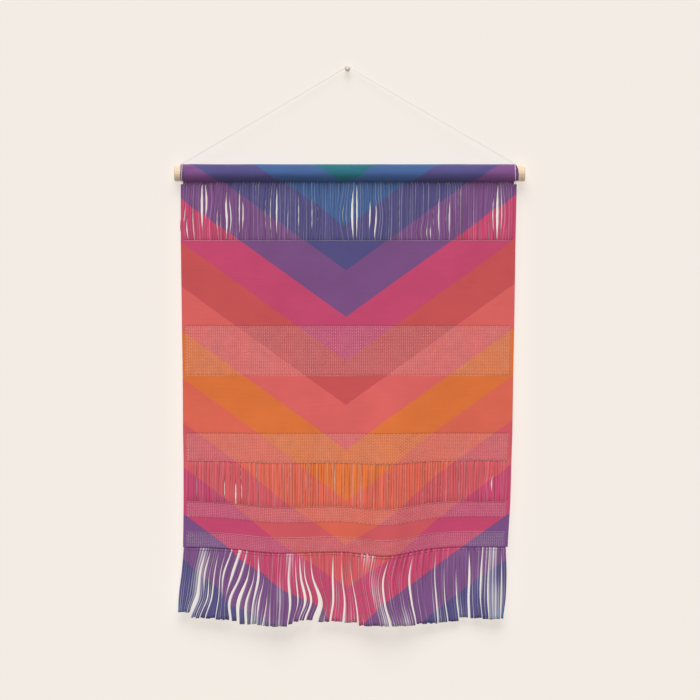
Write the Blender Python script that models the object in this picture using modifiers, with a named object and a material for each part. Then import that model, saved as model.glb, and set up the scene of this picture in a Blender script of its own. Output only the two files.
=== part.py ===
"""A fringed textile wall hanging on a wooden rod, hung by a cord from a small wall pin.

Units are metres and +Z is up. The wall is the plane y = 0 and the hanging is in front of it,
at negative y. The origin is the centre of the pin's flat back, which sits on the wall.
"""

import math
from collections import namedtuple

import bmesh
import bpy
from mathutils import Vector

# Wooden rod
ROD_RADIUS = 0.0100
ROD_LEFT = -0.2164
ROD_RIGHT = 0.2218
ROD_DEPTH = -0.0131
ROD_HEIGHT = -0.1316
ROD_ROUNDING = 0.0012
ROD_SIDES = 32

# Gap that neighbouring pieces keep
CLEARANCE = 0.0003

# Woven cloth: one length with its top turned over the rod and sewn down as a sleeve
CLOTH_THICKNESS = 0.0010
SLEEVE_STEP = math.radians(18.0)
SLEEVE_CORNERS = 19
SLEEVE_LEFT = -0.2084
SLEEVE_RIGHT = 0.2133
SLEEVE_PULLED_IN = 0.0035
SEAM_HALF_GAP = 0.00075
SEAM_DROP = 0.0126
HEM_FLAP_DROP = 0.0155
NOTCH_DROP = 0.0133
NOTCH_LEFT = -0.2054
NOTCH_RIGHT = 0.2080
OPEN_TOP = -0.1454
SELVEDGE = 0.0036
SECTIONS = 21
STRANDS_PER_SECTION = 3
STRAND_GAP = 0.0008

# The woven bands, top to bottom: lower edge, cloth's two side edges there, and rows of faces
Band = namedtuple("Band", "name open bottom left right rows")
BANDS = [
    Band("upper open warp", True, -0.2154, -0.2084, 0.2100, 5),
    Band("upper plain", False, -0.3213, -0.2070, 0.2084, 3),
    Band("wide mesh", False, -0.3844, -0.2060, 0.2071, 2),
    Band("middle plain", False, -0.4556, -0.2055, 0.2060, 3),
    Band("second mesh", False, -0.4906, -0.2049, 0.2048, 2),
    Band("lower open warp", True, -0.5417, -0.2048, 0.2034, 3),
    Band("third mesh", False, -0.5615, -0.2049, 0.2022, 1),
    Band("narrow plain", False, -0.5795, -0.2051, 0.2011, 1),
    Band("hem mesh", False, -0.5985, -0.2054, 0.2000, 1),
]
PANEL_TOP_LEFT = -0.2084
PANEL_TOP_RIGHT = 0.2115

# Soft folds of the lower half: where each one is, how wide, how far forward and how far it droops
Fold = namedtuple("Fold", "centre spread forward droop")
FOLDS = [
    Fold(-0.200, 0.030, 0.003, 0.0000),
    Fold(-0.084, 0.041, 0.014, 0.0068),
    Fold(-0.024, 0.025, -0.003, 0.0025),
    Fold(0.046, 0.034, 0.020, 0.0100),
    Fold(0.125, 0.034, -0.006, 0.0000),
    Fold(0.195, 0.025, 0.003, 0.0000),
]
FORWARD_STARTS = -0.34
FORWARD_FULL = -0.58
DROOP_STARTS = -0.44
DROOP_FULL = -0.55

# Slits where warp strands stand apart. The gaps between strands are counted from the left, and a
# slit says how far its gap shifts and widens, and the share of the band's height that it covers
Slit = namedtuple("Slit", "gap shift widening middle reach")
UPPER_SLITS = [
    Slit(1, -0.0021, 0.0010, 0.80, 0.34),
    Slit(3, 0.0037, 0.0018, 0.42, 0.46),
    Slit(4, 0.0021, 0.0010, 0.45, 0.40),
    Slit(6, 0.0034, 0.0009, 0.65, 0.34),
    Slit(7, 0.0020, 0.0008, 0.65, 0.30),
    Slit(8, 0.0016, 0.0020, 0.58, 0.38),
    Slit(9, 0.0000, 0.0011, 0.58, 0.36),
    Slit(10, 0.0030, 0.0012, 0.55, 0.38),
    Slit(11, 0.0022, 0.0008, 0.55, 0.34),
    Slit(16, -0.0004, 0.0006, 0.55, 0.46),
    Slit(17, -0.0024, 0.0006, 0.55, 0.46),
    Slit(18, -0.0010, 0.0014, 0.56, 0.42),
    Slit(22, -0.0006, 0.0006, 0.55, 0.40),
    Slit(25, -0.0022, 0.0006, 0.55, 0.40),
    Slit(31, -0.0013, 0.0008, 0.58, 0.36),
    Slit(32, 0.0025, 0.0018, 0.55, 0.44),
    Slit(33, 0.0009, 0.0012, 0.50, 0.48),
    Slit(36, -0.0012, 0.0014, 0.56, 0.36),
    Slit(37, -0.0026, 0.0012, 0.60, 0.38),
    Slit(48, 0.0000, 0.0008, 0.50, 0.46),
    Slit(49, -0.0020, 0.0011, 0.50, 0.46),
    Slit(59, 0.0018, 0.0006, 0.50, 0.46),
    Slit(60, -0.0005, 0.0017, 0.50, 0.48),
]
LOWER_SLITS = [
    Slit(10, -0.0006, 0.0011, 0.72, 0.30),
    Slit(60, -0.0010, 0.0008, 0.55, 0.40),
]

# Cut fringe: each row is the parting on a lock's left side, followed down the strands, the clear
# gap beside it, and the lock's strand count and the height of its cut ends
FRINGE_THICKNESS = 0.0014
FRINGE_STRIP = 0.0028
FRINGE_GAP = 0.0005
FRINGE_ROWS = 8
FRINGE_SWINGS_BACK = 0.25
KNEE = 0.37
SHIN = 0.72
WIDEST_STRAND = 0.0074
Lock = namedtuple("Lock", "strands root knee shin tip knee_gap shin_gap tip_gap end")
LOCKS = [
    Lock(4, -0.2046, -0.2070, -0.2106, -0.2115, 0.0, 0.0, 0.0, -0.6806),
    Lock(1, -0.1769, -0.1841, -0.1879, -0.1966, 0.0020, 0.0026, 0.0008, -0.6869),
    Lock(1, -0.1706, -0.1785, -0.1806, -0.1904, 0.0018, 0.0, 0.0, -0.6881),
    Lock(1, -0.1656, -0.1725, -0.1750, -0.1850, 0.0006, 0.0020, 0.0014, -0.6875),
    Lock(2, -0.1606, -0.1662, -0.1700, -0.1778, 0.0014, 0.0016, 0.0010, -0.6881),
    Lock(1, -0.1519, -0.1591, -0.1611, -0.1649, 0.0010, 0.0010, 0.0010, -0.6894),
    Lock(1, -0.1446, -0.1549, -0.1571, -0.1592, 0.0020, 0.0, 0.0, -0.6894),
    Lock(1, -0.1344, -0.1445, -0.1526, -0.1534, 0.0024, 0.0, 0.0, -0.6894),
    Lock(1, -0.1250, -0.1334, -0.1470, -0.1460, 0.0020, 0.0032, 0.0034, -0.6913),
    Lock(1, -0.1206, -0.1246, -0.1362, -0.1365, 0.0014, 0.0044, 0.0044, -0.6950),
    Lock(1, -0.1161, -0.1171, -0.1264, -0.1265, 0.0010, 0.0032, 0.0030, -0.6950),
    Lock(1, -0.1119, -0.1114, -0.1181, -0.1202, 0.0030, 0.0020, 0.0020, -0.6950),
    Lock(1, -0.1062, -0.1044, -0.1110, -0.1134, 0.0005, 0.0020, 0.0010, -0.6963),
    Lock(1, -0.0994, -0.0988, -0.1015, -0.1061, 0.0, 0.0008, 0.0016, -0.6969),
    Lock(3, -0.0931, -0.0944, -0.0969, -0.0974, 0.0, 0.0005, 0.0009, -0.6975),
    Lock(1, -0.0726, -0.0738, -0.0719, -0.0751, 0.0022, 0.0030, 0.0022, -0.6950),
    Lock(1, -0.0656, -0.0641, -0.0619, -0.0684, 0.0010, 0.0018, 0.0012, -0.6913),
    Lock(1, -0.0601, -0.0584, -0.0529, -0.0609, 0.0020, 0.0032, 0.0015, -0.6900),
    Lock(1, -0.0544, -0.0529, -0.0454, -0.0541, 0.0015, 0.0028, 0.0012, -0.6900),
    Lock(4, -0.0464, -0.0439, -0.0341, -0.0394, 0.0020, 0.0054, 0.0050, -0.6925),
    Lock(2, -0.0181, -0.0186, -0.0181, -0.0216, 0.0022, 0.0025, 0.0022, -0.6919),
    Lock(2, -0.0076, -0.0069, -0.0036, -0.0051, 0.0015, 0.0025, 0.0022, -0.6931),
    Lock(7, 0.0031, 0.0051, 0.0106, 0.0135, 0.0010, 0.0020, 0.0020, -0.6969),
    Lock(5, 0.0519, 0.0441, 0.0469, 0.0535, 0.0024, 0.0025, 0.0032, -0.6969),
    Lock(4, 0.0815, 0.0771, 0.0804, 0.0854, 0.0024, 0.0022, 0.0016, -0.6944),
    Lock(2, 0.1101, 0.1089, 0.1109, 0.1131, 0.0010, 0.0015, 0.0011, -0.6931),
    Lock(2, 0.1219, 0.1206, 0.1221, 0.1256, 0.0007, 0.0012, 0.0011, -0.6919),
    Lock(2, 0.1369, 0.1356, 0.1368, 0.1396, 0.0007, 0.0012, 0.0011, -0.6875),
    Lock(2, 0.1521, 0.1524, 0.1515, 0.1526, 0.0028, 0.0028, 0.0032, -0.6881),
    Lock(1, 0.1684, 0.1668, 0.1660, 0.1681, 0.0021, 0.0021, 0.0013, -0.6894),
    Lock(2, 0.1781, 0.1759, 0.1755, 0.1771, 0.0016, 0.0019, 0.0011, -0.6894),
    Lock(1, 0.1919, 0.1924, 0.1919, 0.1909, 0.0014, 0.0015, 0.0010, -0.6881),
    Lock(0, 0.1974, 0.1984, 0.1973, 0.1944, 0.0, 0.0, 0.0, -0.6881),
]

# Turned wall pin, with its axis at right angles to the wall
PIN_BASE_RADIUS = 0.0032
PIN_BASE_DEPTH = 0.0014
PIN_NECK_RADIUS = 0.0015
PIN_HEAD_RADIUS = 0.0036
PIN_UNDERCUT = 0.80
PIN_HEAD_BACK = 0.0070
PIN_HEAD_EDGE = 0.0086
PIN_HEAD_FRONT = 0.0112
PIN_STEPS = 20

# Hanging cord: tied round the sleeve and the rod near each end, through a notch under the rod,
# and taut over the pin's neck between the two ties
CORD_RADIUS = 0.0005
CORD_TIE_LEFT = -0.2063
CORD_TIE_RIGHT = 0.2089
CORD_TIE_PITCH = 0.0014
CORD_TIE_STEP = math.radians(15.0)
CORD_TIE_STEPS = 21
CORD_TIE_LEAVES = math.radians(25.0)
CORD_ROUTE = [
    (-0.2062, -0.0173, -0.1198),
    (-0.2057, -0.0166, -0.1192),
    (-0.2050, -0.0161, -0.1186),
    (-0.2041, -0.0159, -0.1179),
    (-0.1534, -0.0130, -0.0879),
    (-0.1026, -0.0101, -0.0580),
    (-0.0519, -0.0071, -0.0280),
    (-0.0012, -0.0042, 0.0020),
    (-0.0006, -0.0042, 0.0022),
    (0.0000, -0.0042, 0.0023),
    (0.0006, -0.0042, 0.0022),
    (0.0012, -0.0042, 0.0020),
    (0.0526, -0.0071, -0.0280),
    (0.1039, -0.0101, -0.0580),
    (0.1553, -0.0130, -0.0879),
    (0.2067, -0.0159, -0.1179),
    (0.2076, -0.0161, -0.1186),
    (0.2083, -0.0166, -0.1192),
    (0.2088, -0.0173, -0.1198),
]


def clear_scene():
    for old in list(bpy.data.objects):
        bpy.data.objects.remove(old)


def smooth_step(start, end, value):
    share = min(1.0, max(0.0, (value - start) / (end - start)))
    return share * share * (3.0 - 2.0 * share)


def curve_through(values, places, at):
    """The value at a place on a smooth curve through the given values."""
    last = len(places) - 2
    piece = next((i for i in range(last + 1) if at <= places[i + 1]), last)
    before = values[max(piece - 1, 0)]
    start, end = values[piece], values[piece + 1]
    after = values[min(piece + 2, len(values) - 1)]
    share = (at - places[piece]) / (places[piece + 1] - places[piece])
    leaving, arriving = (end - before) / 2.0, (after - start) / 2.0
    square, cube = share**2, share**3
    return (
        (2 * cube - 3 * square + 1) * start
        + (cube - 2 * square + share) * leaving
        + (3 * square - 2 * cube) * end
        + (cube - square) * arriving
    )


def make_material(name, colour, roughness):
    material = bpy.data.materials.new(name)
    material.use_nodes = True
    shader = material.node_tree.nodes["Principled BSDF"]
    shader.inputs["Base Color"].default_value = (*colour, 1.0)
    shader.inputs["Roughness"].default_value = roughness
    shader.inputs["Metallic"].default_value = 0.0
    return material


def add_object(name, data, material, collection):
    part = bpy.data.objects.new(name, data)
    data.materials.append(material)
    collection.objects.link(part)
    return part


def forward_of_folds(x, height):
    share = smooth_step(FORWARD_STARTS, FORWARD_FULL, height)
    bulge = sum(f.forward * math.exp(-0.5 * ((x - f.centre) / f.spread) ** 2) for f in FOLDS)
    return share * bulge


def droop_of_folds(x, height):
    share = smooth_step(DROOP_STARTS, DROOP_FULL, height)
    sag = sum(f.droop * math.exp(-0.5 * ((x - f.centre) / f.spread) ** 2) for f in FOLDS)
    return share * sag


def hang(x, height):
    """A point of the hanging panel: set forward and lowered by the folds that cross it."""
    depth = ROD_DEPTH - SEAM_HALF_GAP - forward_of_folds(x, height)
    return Vector((x, depth, height - droop_of_folds(x, height)))


def numbered_grid(columns, rows):
    """A flat sheet whose points stand on whole numbers: x counts columns and y counts rows."""
    sheet = bmesh.new()
    bmesh.ops.create_grid(sheet, x_segments=columns, y_segments=rows, size=0.5)
    for vertex in sheet.verts:
        vertex.co = Vector(((vertex.co.x + 0.5) * columns, (vertex.co.y + 0.5) * rows, 0.0))
    return sheet


# One row of points round the cloth's length: its place in section, and its cloth edges
Station = namedtuple("Station", "depth height left right band")


def sleeve_radius(offset=0.0):
    """Where the sleeve's middle face has its corners, or a face that lies outside it."""
    return (ROD_RADIUS + CLEARANCE + CLOTH_THICKNESS / 2.0) / math.cos(SLEEVE_STEP / 2.0) + offset


def sleeve_stations():
    """From the sewn-down flap, up behind the rod, over it and down its front to the seam."""
    radius = sleeve_radius()
    back, front = ROD_DEPTH + SEAM_HALF_GAP, ROD_DEPTH - SEAM_HALF_GAP
    notched = (NOTCH_LEFT, NOTCH_RIGHT, None)
    stations = [
        Station(back, ROD_HEIGHT - HEM_FLAP_DROP, *notched),
        Station(back, ROD_HEIGHT - SEAM_DROP, *notched),
    ]
    for corner in range(1, SLEEVE_CORNERS + 1):
        angle = corner * SLEEVE_STEP
        pulled_in = SLEEVE_PULLED_IN * max(0.0, -math.cos(angle)) ** 2
        is_beside_seam = corner in (1, SLEEVE_CORNERS)
        edges = notched if is_beside_seam else (SLEEVE_LEFT, SLEEVE_RIGHT - pulled_in, None)
        depth = ROD_DEPTH + radius * math.sin(angle)
        stations.append(Station(depth, ROD_HEIGHT - radius * math.cos(angle), *edges))
    stations.append(Station(front, ROD_HEIGHT - SEAM_DROP, *notched))
    stations.append(Station(front, ROD_HEIGHT - NOTCH_DROP, *notched))
    return stations


def panel_stations():
    stations = [Station(None, OPEN_TOP, PANEL_TOP_LEFT, PANEL_TOP_RIGHT, None)]
    for band in BANDS:
        above = stations[-1]
        for row in range(1, band.rows + 1):
            share = row / band.rows
            stations.append(
                Station(
                    None,
                    above.height + (band.bottom - above.height) * share,
                    above.left + (band.left - above.left) * share,
                    above.right + (band.right - above.right) * share,
                    band,
                )
            )
    return stations


def open_rows(stations, band):
    """The first and last row number of an open band, both on its woven edges."""
    rows = [row for row, station in enumerate(stations) if station.band is band]
    return rows[0] - 1, rows[-1]


def slit_move(gap, side, share, slits):
    """How far a strand's edge moves at a share of the way down its band: side is 1 or -1."""
    for slit in slits:
        along = abs(share - slit.middle) / slit.reach
        if slit.gap == gap and along < 1.0:
            return (slit.shift + side * slit.widening / 2.0) * math.cos(along * math.pi / 2.0) ** 2
    return 0.0


def across_cloth(column, station):
    """The place across the cloth of a column, with the number of the gap that it edges and the
    side of that gap it is on: a strand's left edge is on side 1 and its right edge on side -1."""
    if column < 1.0:
        return station.left, None, 0
    if column > SECTIONS + 1.0:
        return station.right, None, 0
    if column == SECTIONS + 1.0:
        return station.right - SELVEDGE, None, 0
    inner = station.right - station.left - 2.0 * SELVEDGE
    pitch = inner / (SECTIONS * STRANDS_PER_SECTION)
    strand, is_right_edge = divmod(round((column - 1.0) * STRANDS_PER_SECTION * 2), 2)
    x = station.left + SELVEDGE + strand * pitch + (pitch - STRAND_GAP) * is_right_edge
    return x, strand + is_right_edge, 1 - 2 * is_right_edge


def place_cloth_point(column, row, stations, open_bands):
    station = stations[row]
    x, gap, side = across_cloth(column, station)
    if station.depth is not None:
        return Vector((x, station.depth, station.height))
    for (first, last), slits in open_bands:
        if first < row < last and gap is not None:
            x += slit_move(gap, side, (row - first) / (last - first), slits)
    return hang(x, station.height)


def leave_out_weft(sheet, first, last):
    """Cut the faces between the strands out of an open band that runs from row to row."""
    strand_edges = 2 * STRANDS_PER_SECTION
    crosswise = []
    for edge in sheet.edges:
        start, end = (vertex.co for vertex in edge.verts)
        is_level = round(start.y) == round(end.y)
        is_between_selvedges = 1.0 < (start.x + end.x) / 2.0 < SECTIONS + 1.0
        if is_level and is_between_selvedges and first <= round(start.y) <= last:
            crosswise.append(edge)
    bmesh.ops.subdivide_edges(
        sheet, edges=crosswise, cuts=strand_edges - 1, use_grid_fill=True
    )
    gaps = []
    for face in sheet.faces:
        middle = face.calc_center_median()
        is_in_band = first < middle.y < last and 1.0 < middle.x < SECTIONS + 1.0
        if is_in_band and int((middle.x - 1.0) * strand_edges) % 2:
            gaps.append(face)
    bmesh.ops.delete(sheet, geom=gaps, context="FACES")


def make_cloth(collection):
    """The woven length: sleeve, plain and mesh bands, and two bands with the weft left out."""
    stations = sleeve_stations() + panel_stations()
    bands = [band for band in BANDS if band.open]
    open_bands = [
        (open_rows(stations, band), slits)
        for band, slits in zip(bands, (UPPER_SLITS, LOWER_SLITS))
    ]
    sheet = numbered_grid(SECTIONS + 2, len(stations) - 1)
    for (first, last), _ in open_bands:
        leave_out_weft(sheet, first, last)
    strand_edges = 2 * STRANDS_PER_SECTION
    for vertex in sheet.verts:
        column = round(vertex.co.x * strand_edges) / strand_edges
        vertex.co = place_cloth_point(column, round(vertex.co.y), stations, open_bands)
    mesh = bpy.data.meshes.new("cloth")
    sheet.to_mesh(mesh)
    sheet.free()
    cloth = add_object("cloth", mesh, make_material("woven cloth", (0.62, 0.14, 0.20), 0.85), collection)
    add_thickness(cloth, CLOTH_THICKNESS)
    return cloth


def add_thickness(part, thickness):
    solidify = part.modifiers.new("thickness", "SOLIDIFY")
    solidify.thickness = thickness
    solidify.offset = 0.0
    solidify.use_even_offset = False
    solidify.use_quality_normals = True


def cloth_hem():
    """The cloth's lower edge, as the points of its columns."""
    hem = panel_stations()[-1]
    places = [across_cloth(column, hem)[0] for column in range(SECTIONS + 3)]
    return [hang(x, hem.height) for x in places]


def point_on_hem(x, hem):
    for start, end in zip(hem, hem[1:]):
        if x <= end.x:
            return start.lerp(end, (x - start.x) / (end.x - start.x))
    return hem[-1]


def lock_edges(index, share):
    """Left and right edge of a lock at a share of the way down it."""
    levels = (0.0, KNEE, SHIN, 1.0)
    edges = []
    for lock, side in ((LOCKS[index], 1.0), (LOCKS[index + 1], -1.0)):
        line = curve_through((lock.root, lock.knee, lock.shin, lock.tip), levels, share)
        gaps = (0.0, lock.knee_gap, lock.shin_gap, lock.tip_gap)
        gap = max(0.0, curve_through(gaps, levels, share))
        edges.append(line + side * gap / 2.0)
    return edges


def fringe_strands():
    """Each strand as its lock's index, its number in the lock, and the lock's strand count."""
    return [
        (index, number, lock.strands)
        for index, lock in enumerate(LOCKS)
        for number in range(lock.strands)
    ]


def place_fringe_point(column, row, strands, hem):
    """Even columns are strands and odd ones are gaps; row 0 is the strip's top edge."""
    strand, is_right_edge = divmod(int(column), 2)
    index, number, count = strands[strand]
    share = max(0.0, (row - 1) / (FRINGE_ROWS - 1))
    left, right = lock_edges(index, share)
    pitch = (right - left) / count
    width = min(pitch - FRINGE_GAP, WIDEST_STRAND)
    centre = left + pitch * (number + 0.5)
    x = centre + (is_right_edge - 0.5) * width
    root_left, root_right = lock_edges(index, 0.0)
    root_middle = root_left + (root_right - root_left) * (number + 0.5) / count
    top = point_on_hem(x if row < 2 else root_middle, hem)
    if row < 2:
        drop = CLEARANCE + FRINGE_STRIP * row
        return Vector((x, top.y, top.z - drop))
    start = top.z - CLEARANCE - FRINGE_STRIP
    height = start + (LOCKS[index].end - start) * share
    swing = FRINGE_SWINGS_BACK * share * (ROD_DEPTH - top.y)
    return Vector((x, top.y + swing, height))


def make_fringe(collection):
    """The cut warp ends below the hem, fused to a narrow strip parted from the cloth's edge."""
    strands = fringe_strands()
    hem = cloth_hem()
    columns = 2 * len(strands) - 1
    sheet = numbered_grid(columns, FRINGE_ROWS)
    between = [
        face
        for face in sheet.faces
        if int(face.calc_center_median().x) % 2 and face.calc_center_median().y > 1.0
    ]
    bmesh.ops.delete(sheet, geom=between, context="FACES")
    for vertex in sheet.verts:
        vertex.co = place_fringe_point(round(vertex.co.x), round(vertex.co.y), strands, hem)
    mesh = bpy.data.meshes.new("fringe")
    sheet.to_mesh(mesh)
    sheet.free()
    fringe = add_object("fringe", mesh, make_material("fringe yarn", (0.45, 0.12, 0.30), 0.9), collection)
    add_thickness(fringe, FRINGE_THICKNESS)
    return fringe


def make_rod(collection):
    length = ROD_RIGHT - ROD_LEFT
    bpy.ops.mesh.primitive_cylinder_add(vertices=ROD_SIDES, radius=ROD_RADIUS, depth=length)
    rod = bpy.context.object
    rod.name = "rod"
    rod.location = ((ROD_LEFT + ROD_RIGHT) / 2.0, ROD_DEPTH, ROD_HEIGHT)
    rod.rotation_euler = (0.0, math.pi / 2.0, 0.0)
    rod.data.materials.append(make_material("pale wood", (0.80, 0.62, 0.42), 0.55))
    bevel = rod.modifiers.new("rounded ends", "BEVEL")
    bevel.width = ROD_ROUNDING
    bevel.segments = 2
    bevel.limit_method = "ANGLE"
    bevel.angle_limit = math.radians(60.0)
    rod.data.shade_smooth()
    rod.data.set_sharp_from_angle(angle=math.radians(40.0))
    move_to(rod, collection)
    return rod


def move_to(part, collection):
    for holder in list(part.users_collection):
        holder.objects.unlink(part)
    collection.objects.link(part)


def make_wall_pin(collection):
    """A turned pin: flat base on the wall, thin neck for the cord, and a domed head."""
    head_rise = PIN_HEAD_FRONT - PIN_HEAD_EDGE
    profile = [(0.0, PIN_HEAD_FRONT)]
    for degrees in (60.0, 30.0):
        angle = math.radians(degrees)
        radius = PIN_HEAD_RADIUS * math.cos(angle)
        profile.append((radius, PIN_HEAD_EDGE + head_rise * math.sin(angle)))
    profile += [
        (PIN_HEAD_RADIUS, PIN_HEAD_EDGE),
        (PIN_HEAD_RADIUS * PIN_UNDERCUT, PIN_HEAD_BACK),
        (PIN_NECK_RADIUS, PIN_HEAD_BACK),
        (PIN_NECK_RADIUS, PIN_BASE_DEPTH),
        (PIN_BASE_RADIUS, PIN_BASE_DEPTH),
        (PIN_BASE_RADIUS, 0.0),
        (0.0, 0.0),
    ]
    outline = bmesh.new()
    points = [outline.verts.new((radius, 0.0, height)) for radius, height in profile]
    for start, end in zip(points, points[1:]):
        outline.edges.new((start, end))
    mesh = bpy.data.meshes.new("wall_pin")
    outline.to_mesh(mesh)
    outline.free()
    pin = add_object("wall_pin", mesh, make_material("turned wood", (0.72, 0.60, 0.47), 0.5), collection)
    pin.rotation_euler = (math.pi / 2.0, 0.0, 0.0)
    turn = pin.modifiers.new("turned", "SCREW")
    turn.steps = PIN_STEPS
    turn.render_steps = PIN_STEPS
    turn.use_merge_vertices = True
    turn.merge_threshold = 0.00001
    return pin


def cord_tie(place, side):
    """Points of the turn round the sleeve, from its hidden end to where the cord leaves it."""
    clear_of_sleeve = sleeve_radius(CLOTH_THICKNESS / 2.0) + CLEARANCE + CORD_RADIUS
    radius = clear_of_sleeve / math.cos(CORD_TIE_STEP / 2.0)
    points = []
    for step in range(CORD_TIE_STEPS, -1, -1):
        angle = CORD_TIE_LEAVES + step * CORD_TIE_STEP
        x = place + side * CORD_TIE_PITCH * step / CORD_TIE_STEPS
        depth = ROD_DEPTH - radius * math.sin(angle)
        points.append(Vector((x, depth, ROD_HEIGHT + radius * math.cos(angle))))
    return points


def make_cord(collection):
    left_tie = cord_tie(CORD_TIE_LEFT, -1)
    right_tie = cord_tie(CORD_TIE_RIGHT, 1)
    route = left_tie + [Vector(place) for place in CORD_ROUTE] + right_tie[::-1]
    curve = bpy.data.curves.new("cord", "CURVE")
    curve.dimensions = "3D"
    curve.bevel_depth = CORD_RADIUS
    curve.bevel_resolution = 2
    curve.use_fill_caps = True
    spline = curve.splines.new("POLY")
    spline.points.add(len(route) - 1)
    for point, place in zip(spline.points, route):
        point.co = (*place, 1.0)
    return add_object("cord", curve, make_material("white cord", (0.88, 0.86, 0.83), 0.8), collection)


def main():
    clear_scene()
    collection = bpy.data.collections.new("wall_hanging")
    bpy.context.scene.collection.children.link(collection)
    make_rod(collection)
    make_cloth(collection)
    make_fringe(collection)
    make_wall_pin(collection)
    make_cord(collection)


main()
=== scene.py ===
"""The looks of a fringed textile wall hanging on a wooden rod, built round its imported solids.

Units are metres and +Z is up. The wall is the plane y = 0, the hanging is in front of it at
negative y, and the origin is the centre of the wall pin's flat back.
"""

import math
import random
from collections import namedtuple

import bmesh
import bpy
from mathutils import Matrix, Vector, noise


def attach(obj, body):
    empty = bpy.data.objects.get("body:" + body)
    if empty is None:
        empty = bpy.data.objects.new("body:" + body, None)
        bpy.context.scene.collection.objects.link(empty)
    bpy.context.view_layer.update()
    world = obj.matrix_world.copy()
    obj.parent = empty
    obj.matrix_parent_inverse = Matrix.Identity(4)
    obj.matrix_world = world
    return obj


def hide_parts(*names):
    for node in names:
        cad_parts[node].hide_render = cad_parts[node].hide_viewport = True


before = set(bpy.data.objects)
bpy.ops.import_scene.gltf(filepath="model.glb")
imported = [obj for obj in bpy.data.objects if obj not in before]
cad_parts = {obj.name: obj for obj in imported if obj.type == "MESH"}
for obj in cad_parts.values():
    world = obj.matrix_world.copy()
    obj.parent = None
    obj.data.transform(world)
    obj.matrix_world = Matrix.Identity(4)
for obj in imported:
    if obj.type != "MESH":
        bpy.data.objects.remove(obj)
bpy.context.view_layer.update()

# Camera, wall and lamps
# The camera looks level and straight at the hanging from far enough off to see it flat. A weak
# lamp beside it reaches the wall through the slits, a wide one above shapes the sleeve and folds,
# and one behind lights the back for views from there.
VIEW_WIDTH = 0.875
VIEW_CENTRE = Vector((0.0031, -0.0130, -0.3525))
CAMERA_DISTANCE = 4.0
CAMERA_SENSOR = 36.0
WALL_SIZE = 6.0
WALL_GAP = 0.0005
WALL_COLOUR = (0.896, 0.840, 0.782)
WALL_GLOW = 0.55
AMBIENT_STRENGTH = 0.20

scene = bpy.context.scene
scene.view_settings.view_transform = "Standard"


def link_object(name, data):
    """A new object in the scene for the data."""
    made = bpy.data.objects.new(name, data)
    bpy.context.collection.objects.link(made)
    return made


camera_data = bpy.data.cameras.new("camera")
camera_data.sensor_width = CAMERA_SENSOR
camera_data.lens = CAMERA_SENSOR * CAMERA_DISTANCE / VIEW_WIDTH
camera = link_object("camera", camera_data)
camera.location = VIEW_CENTRE + Vector((0.0, -CAMERA_DISTANCE, 0.0))
camera.rotation_euler = (math.radians(90.0), 0.0, 0.0)
scene.camera = camera


def add_lamp(name, azimuth, elevation, spread, strength):
    """A far lamp. Its azimuth is 0 in front of the hanging and grows to the right, in degrees."""
    lamp_data = bpy.data.lights.new(name, "SUN")
    lamp_data.angle = math.radians(spread)
    lamp_data.energy = math.pi * strength
    lamp = link_object(name, lamp_data)
    lamp.rotation_euler = (math.radians(90.0 - elevation), 0.0, math.radians(azimuth))


add_lamp("front lamp", azimuth=0.0, elevation=0.0, spread=5.0, strength=0.31)
add_lamp("upper lamp", azimuth=-3.0, elevation=50.0, spread=40.0, strength=0.80)
add_lamp("back lamp", azimuth=160.0, elevation=35.0, spread=20.0, strength=0.60)

world = bpy.data.worlds.new("studio")
scene.world = world
world.use_nodes = True
sky = world.node_tree
rays = sky.nodes.new("ShaderNodeLightPath")
sky_strength = sky.nodes.new("ShaderNodeMapRange")
sky_strength.inputs["To Min"].default_value = AMBIENT_STRENGTH
sky_strength.inputs["To Max"].default_value = 1.0
sky.links.new(rays.outputs["Is Camera Ray"], sky_strength.inputs["Value"])
sky.links.new(sky_strength.outputs["Result"], sky.nodes["Background"].inputs["Strength"])
sky.nodes["Background"].inputs["Color"].default_value = (*WALL_COLOUR, 1.0)


def plain_shader(name, colour, roughness):
    """A new material with its node tree and its shader, which has the one colour."""
    material = bpy.data.materials.new(name)
    material.use_nodes = True
    shader = material.node_tree.nodes["Principled BSDF"]
    shader.inputs["Base Color"].default_value = (*colour, 1.0)
    shader.inputs["Roughness"].default_value = roughness
    return material, material.node_tree, shader


# The wall is a lit studio board, so that shadows on it stay light. It is seen and lit from the front
# only, so that the hanging's back shows from behind.
lit_share = tuple(channel * (1.0 - WALL_GLOW) for channel in WALL_COLOUR)
wall_paint, tree, paint = plain_shader("wall board", lit_share, roughness=1.0)
paint.inputs["Specular IOR Level"].default_value = 0.0
paint.inputs["Emission Color"].default_value = (*WALL_COLOUR, 1.0)
paint.inputs["Emission Strength"].default_value = WALL_GLOW
rays = tree.nodes.new("ShaderNodeLightPath")
face = tree.nodes.new("ShaderNodeNewGeometry")
either = tree.nodes.new("ShaderNodeMath")
either.operation = "MAXIMUM"
clear = tree.nodes.new("ShaderNodeBsdfTransparent")
choice = tree.nodes.new("ShaderNodeMixShader")
tree.links.new(rays.outputs["Is Shadow Ray"], either.inputs[0])
tree.links.new(face.outputs["Backfacing"], either.inputs[1])
tree.links.new(either.outputs["Value"], choice.inputs["Fac"])
tree.links.new(paint.outputs["BSDF"], choice.inputs[1])
tree.links.new(clear.outputs["BSDF"], choice.inputs[2])
tree.links.new(choice.outputs["Shader"], tree.nodes["Material Output"].inputs["Surface"])

wall_shape = bmesh.new()
bmesh.ops.create_grid(wall_shape, x_segments=1, y_segments=1, size=WALL_SIZE / 2.0)
wall_mesh = bpy.data.meshes.new("wall")
wall_shape.to_mesh(wall_mesh)
wall_shape.free()
wall_mesh.materials.append(wall_paint)
wall = link_object("wall", wall_mesh)
wall.location = (0.0, WALL_GAP, VIEW_CENTRE.z)
wall.rotation_euler = (math.radians(90.0), 0.0, 0.0)


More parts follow.
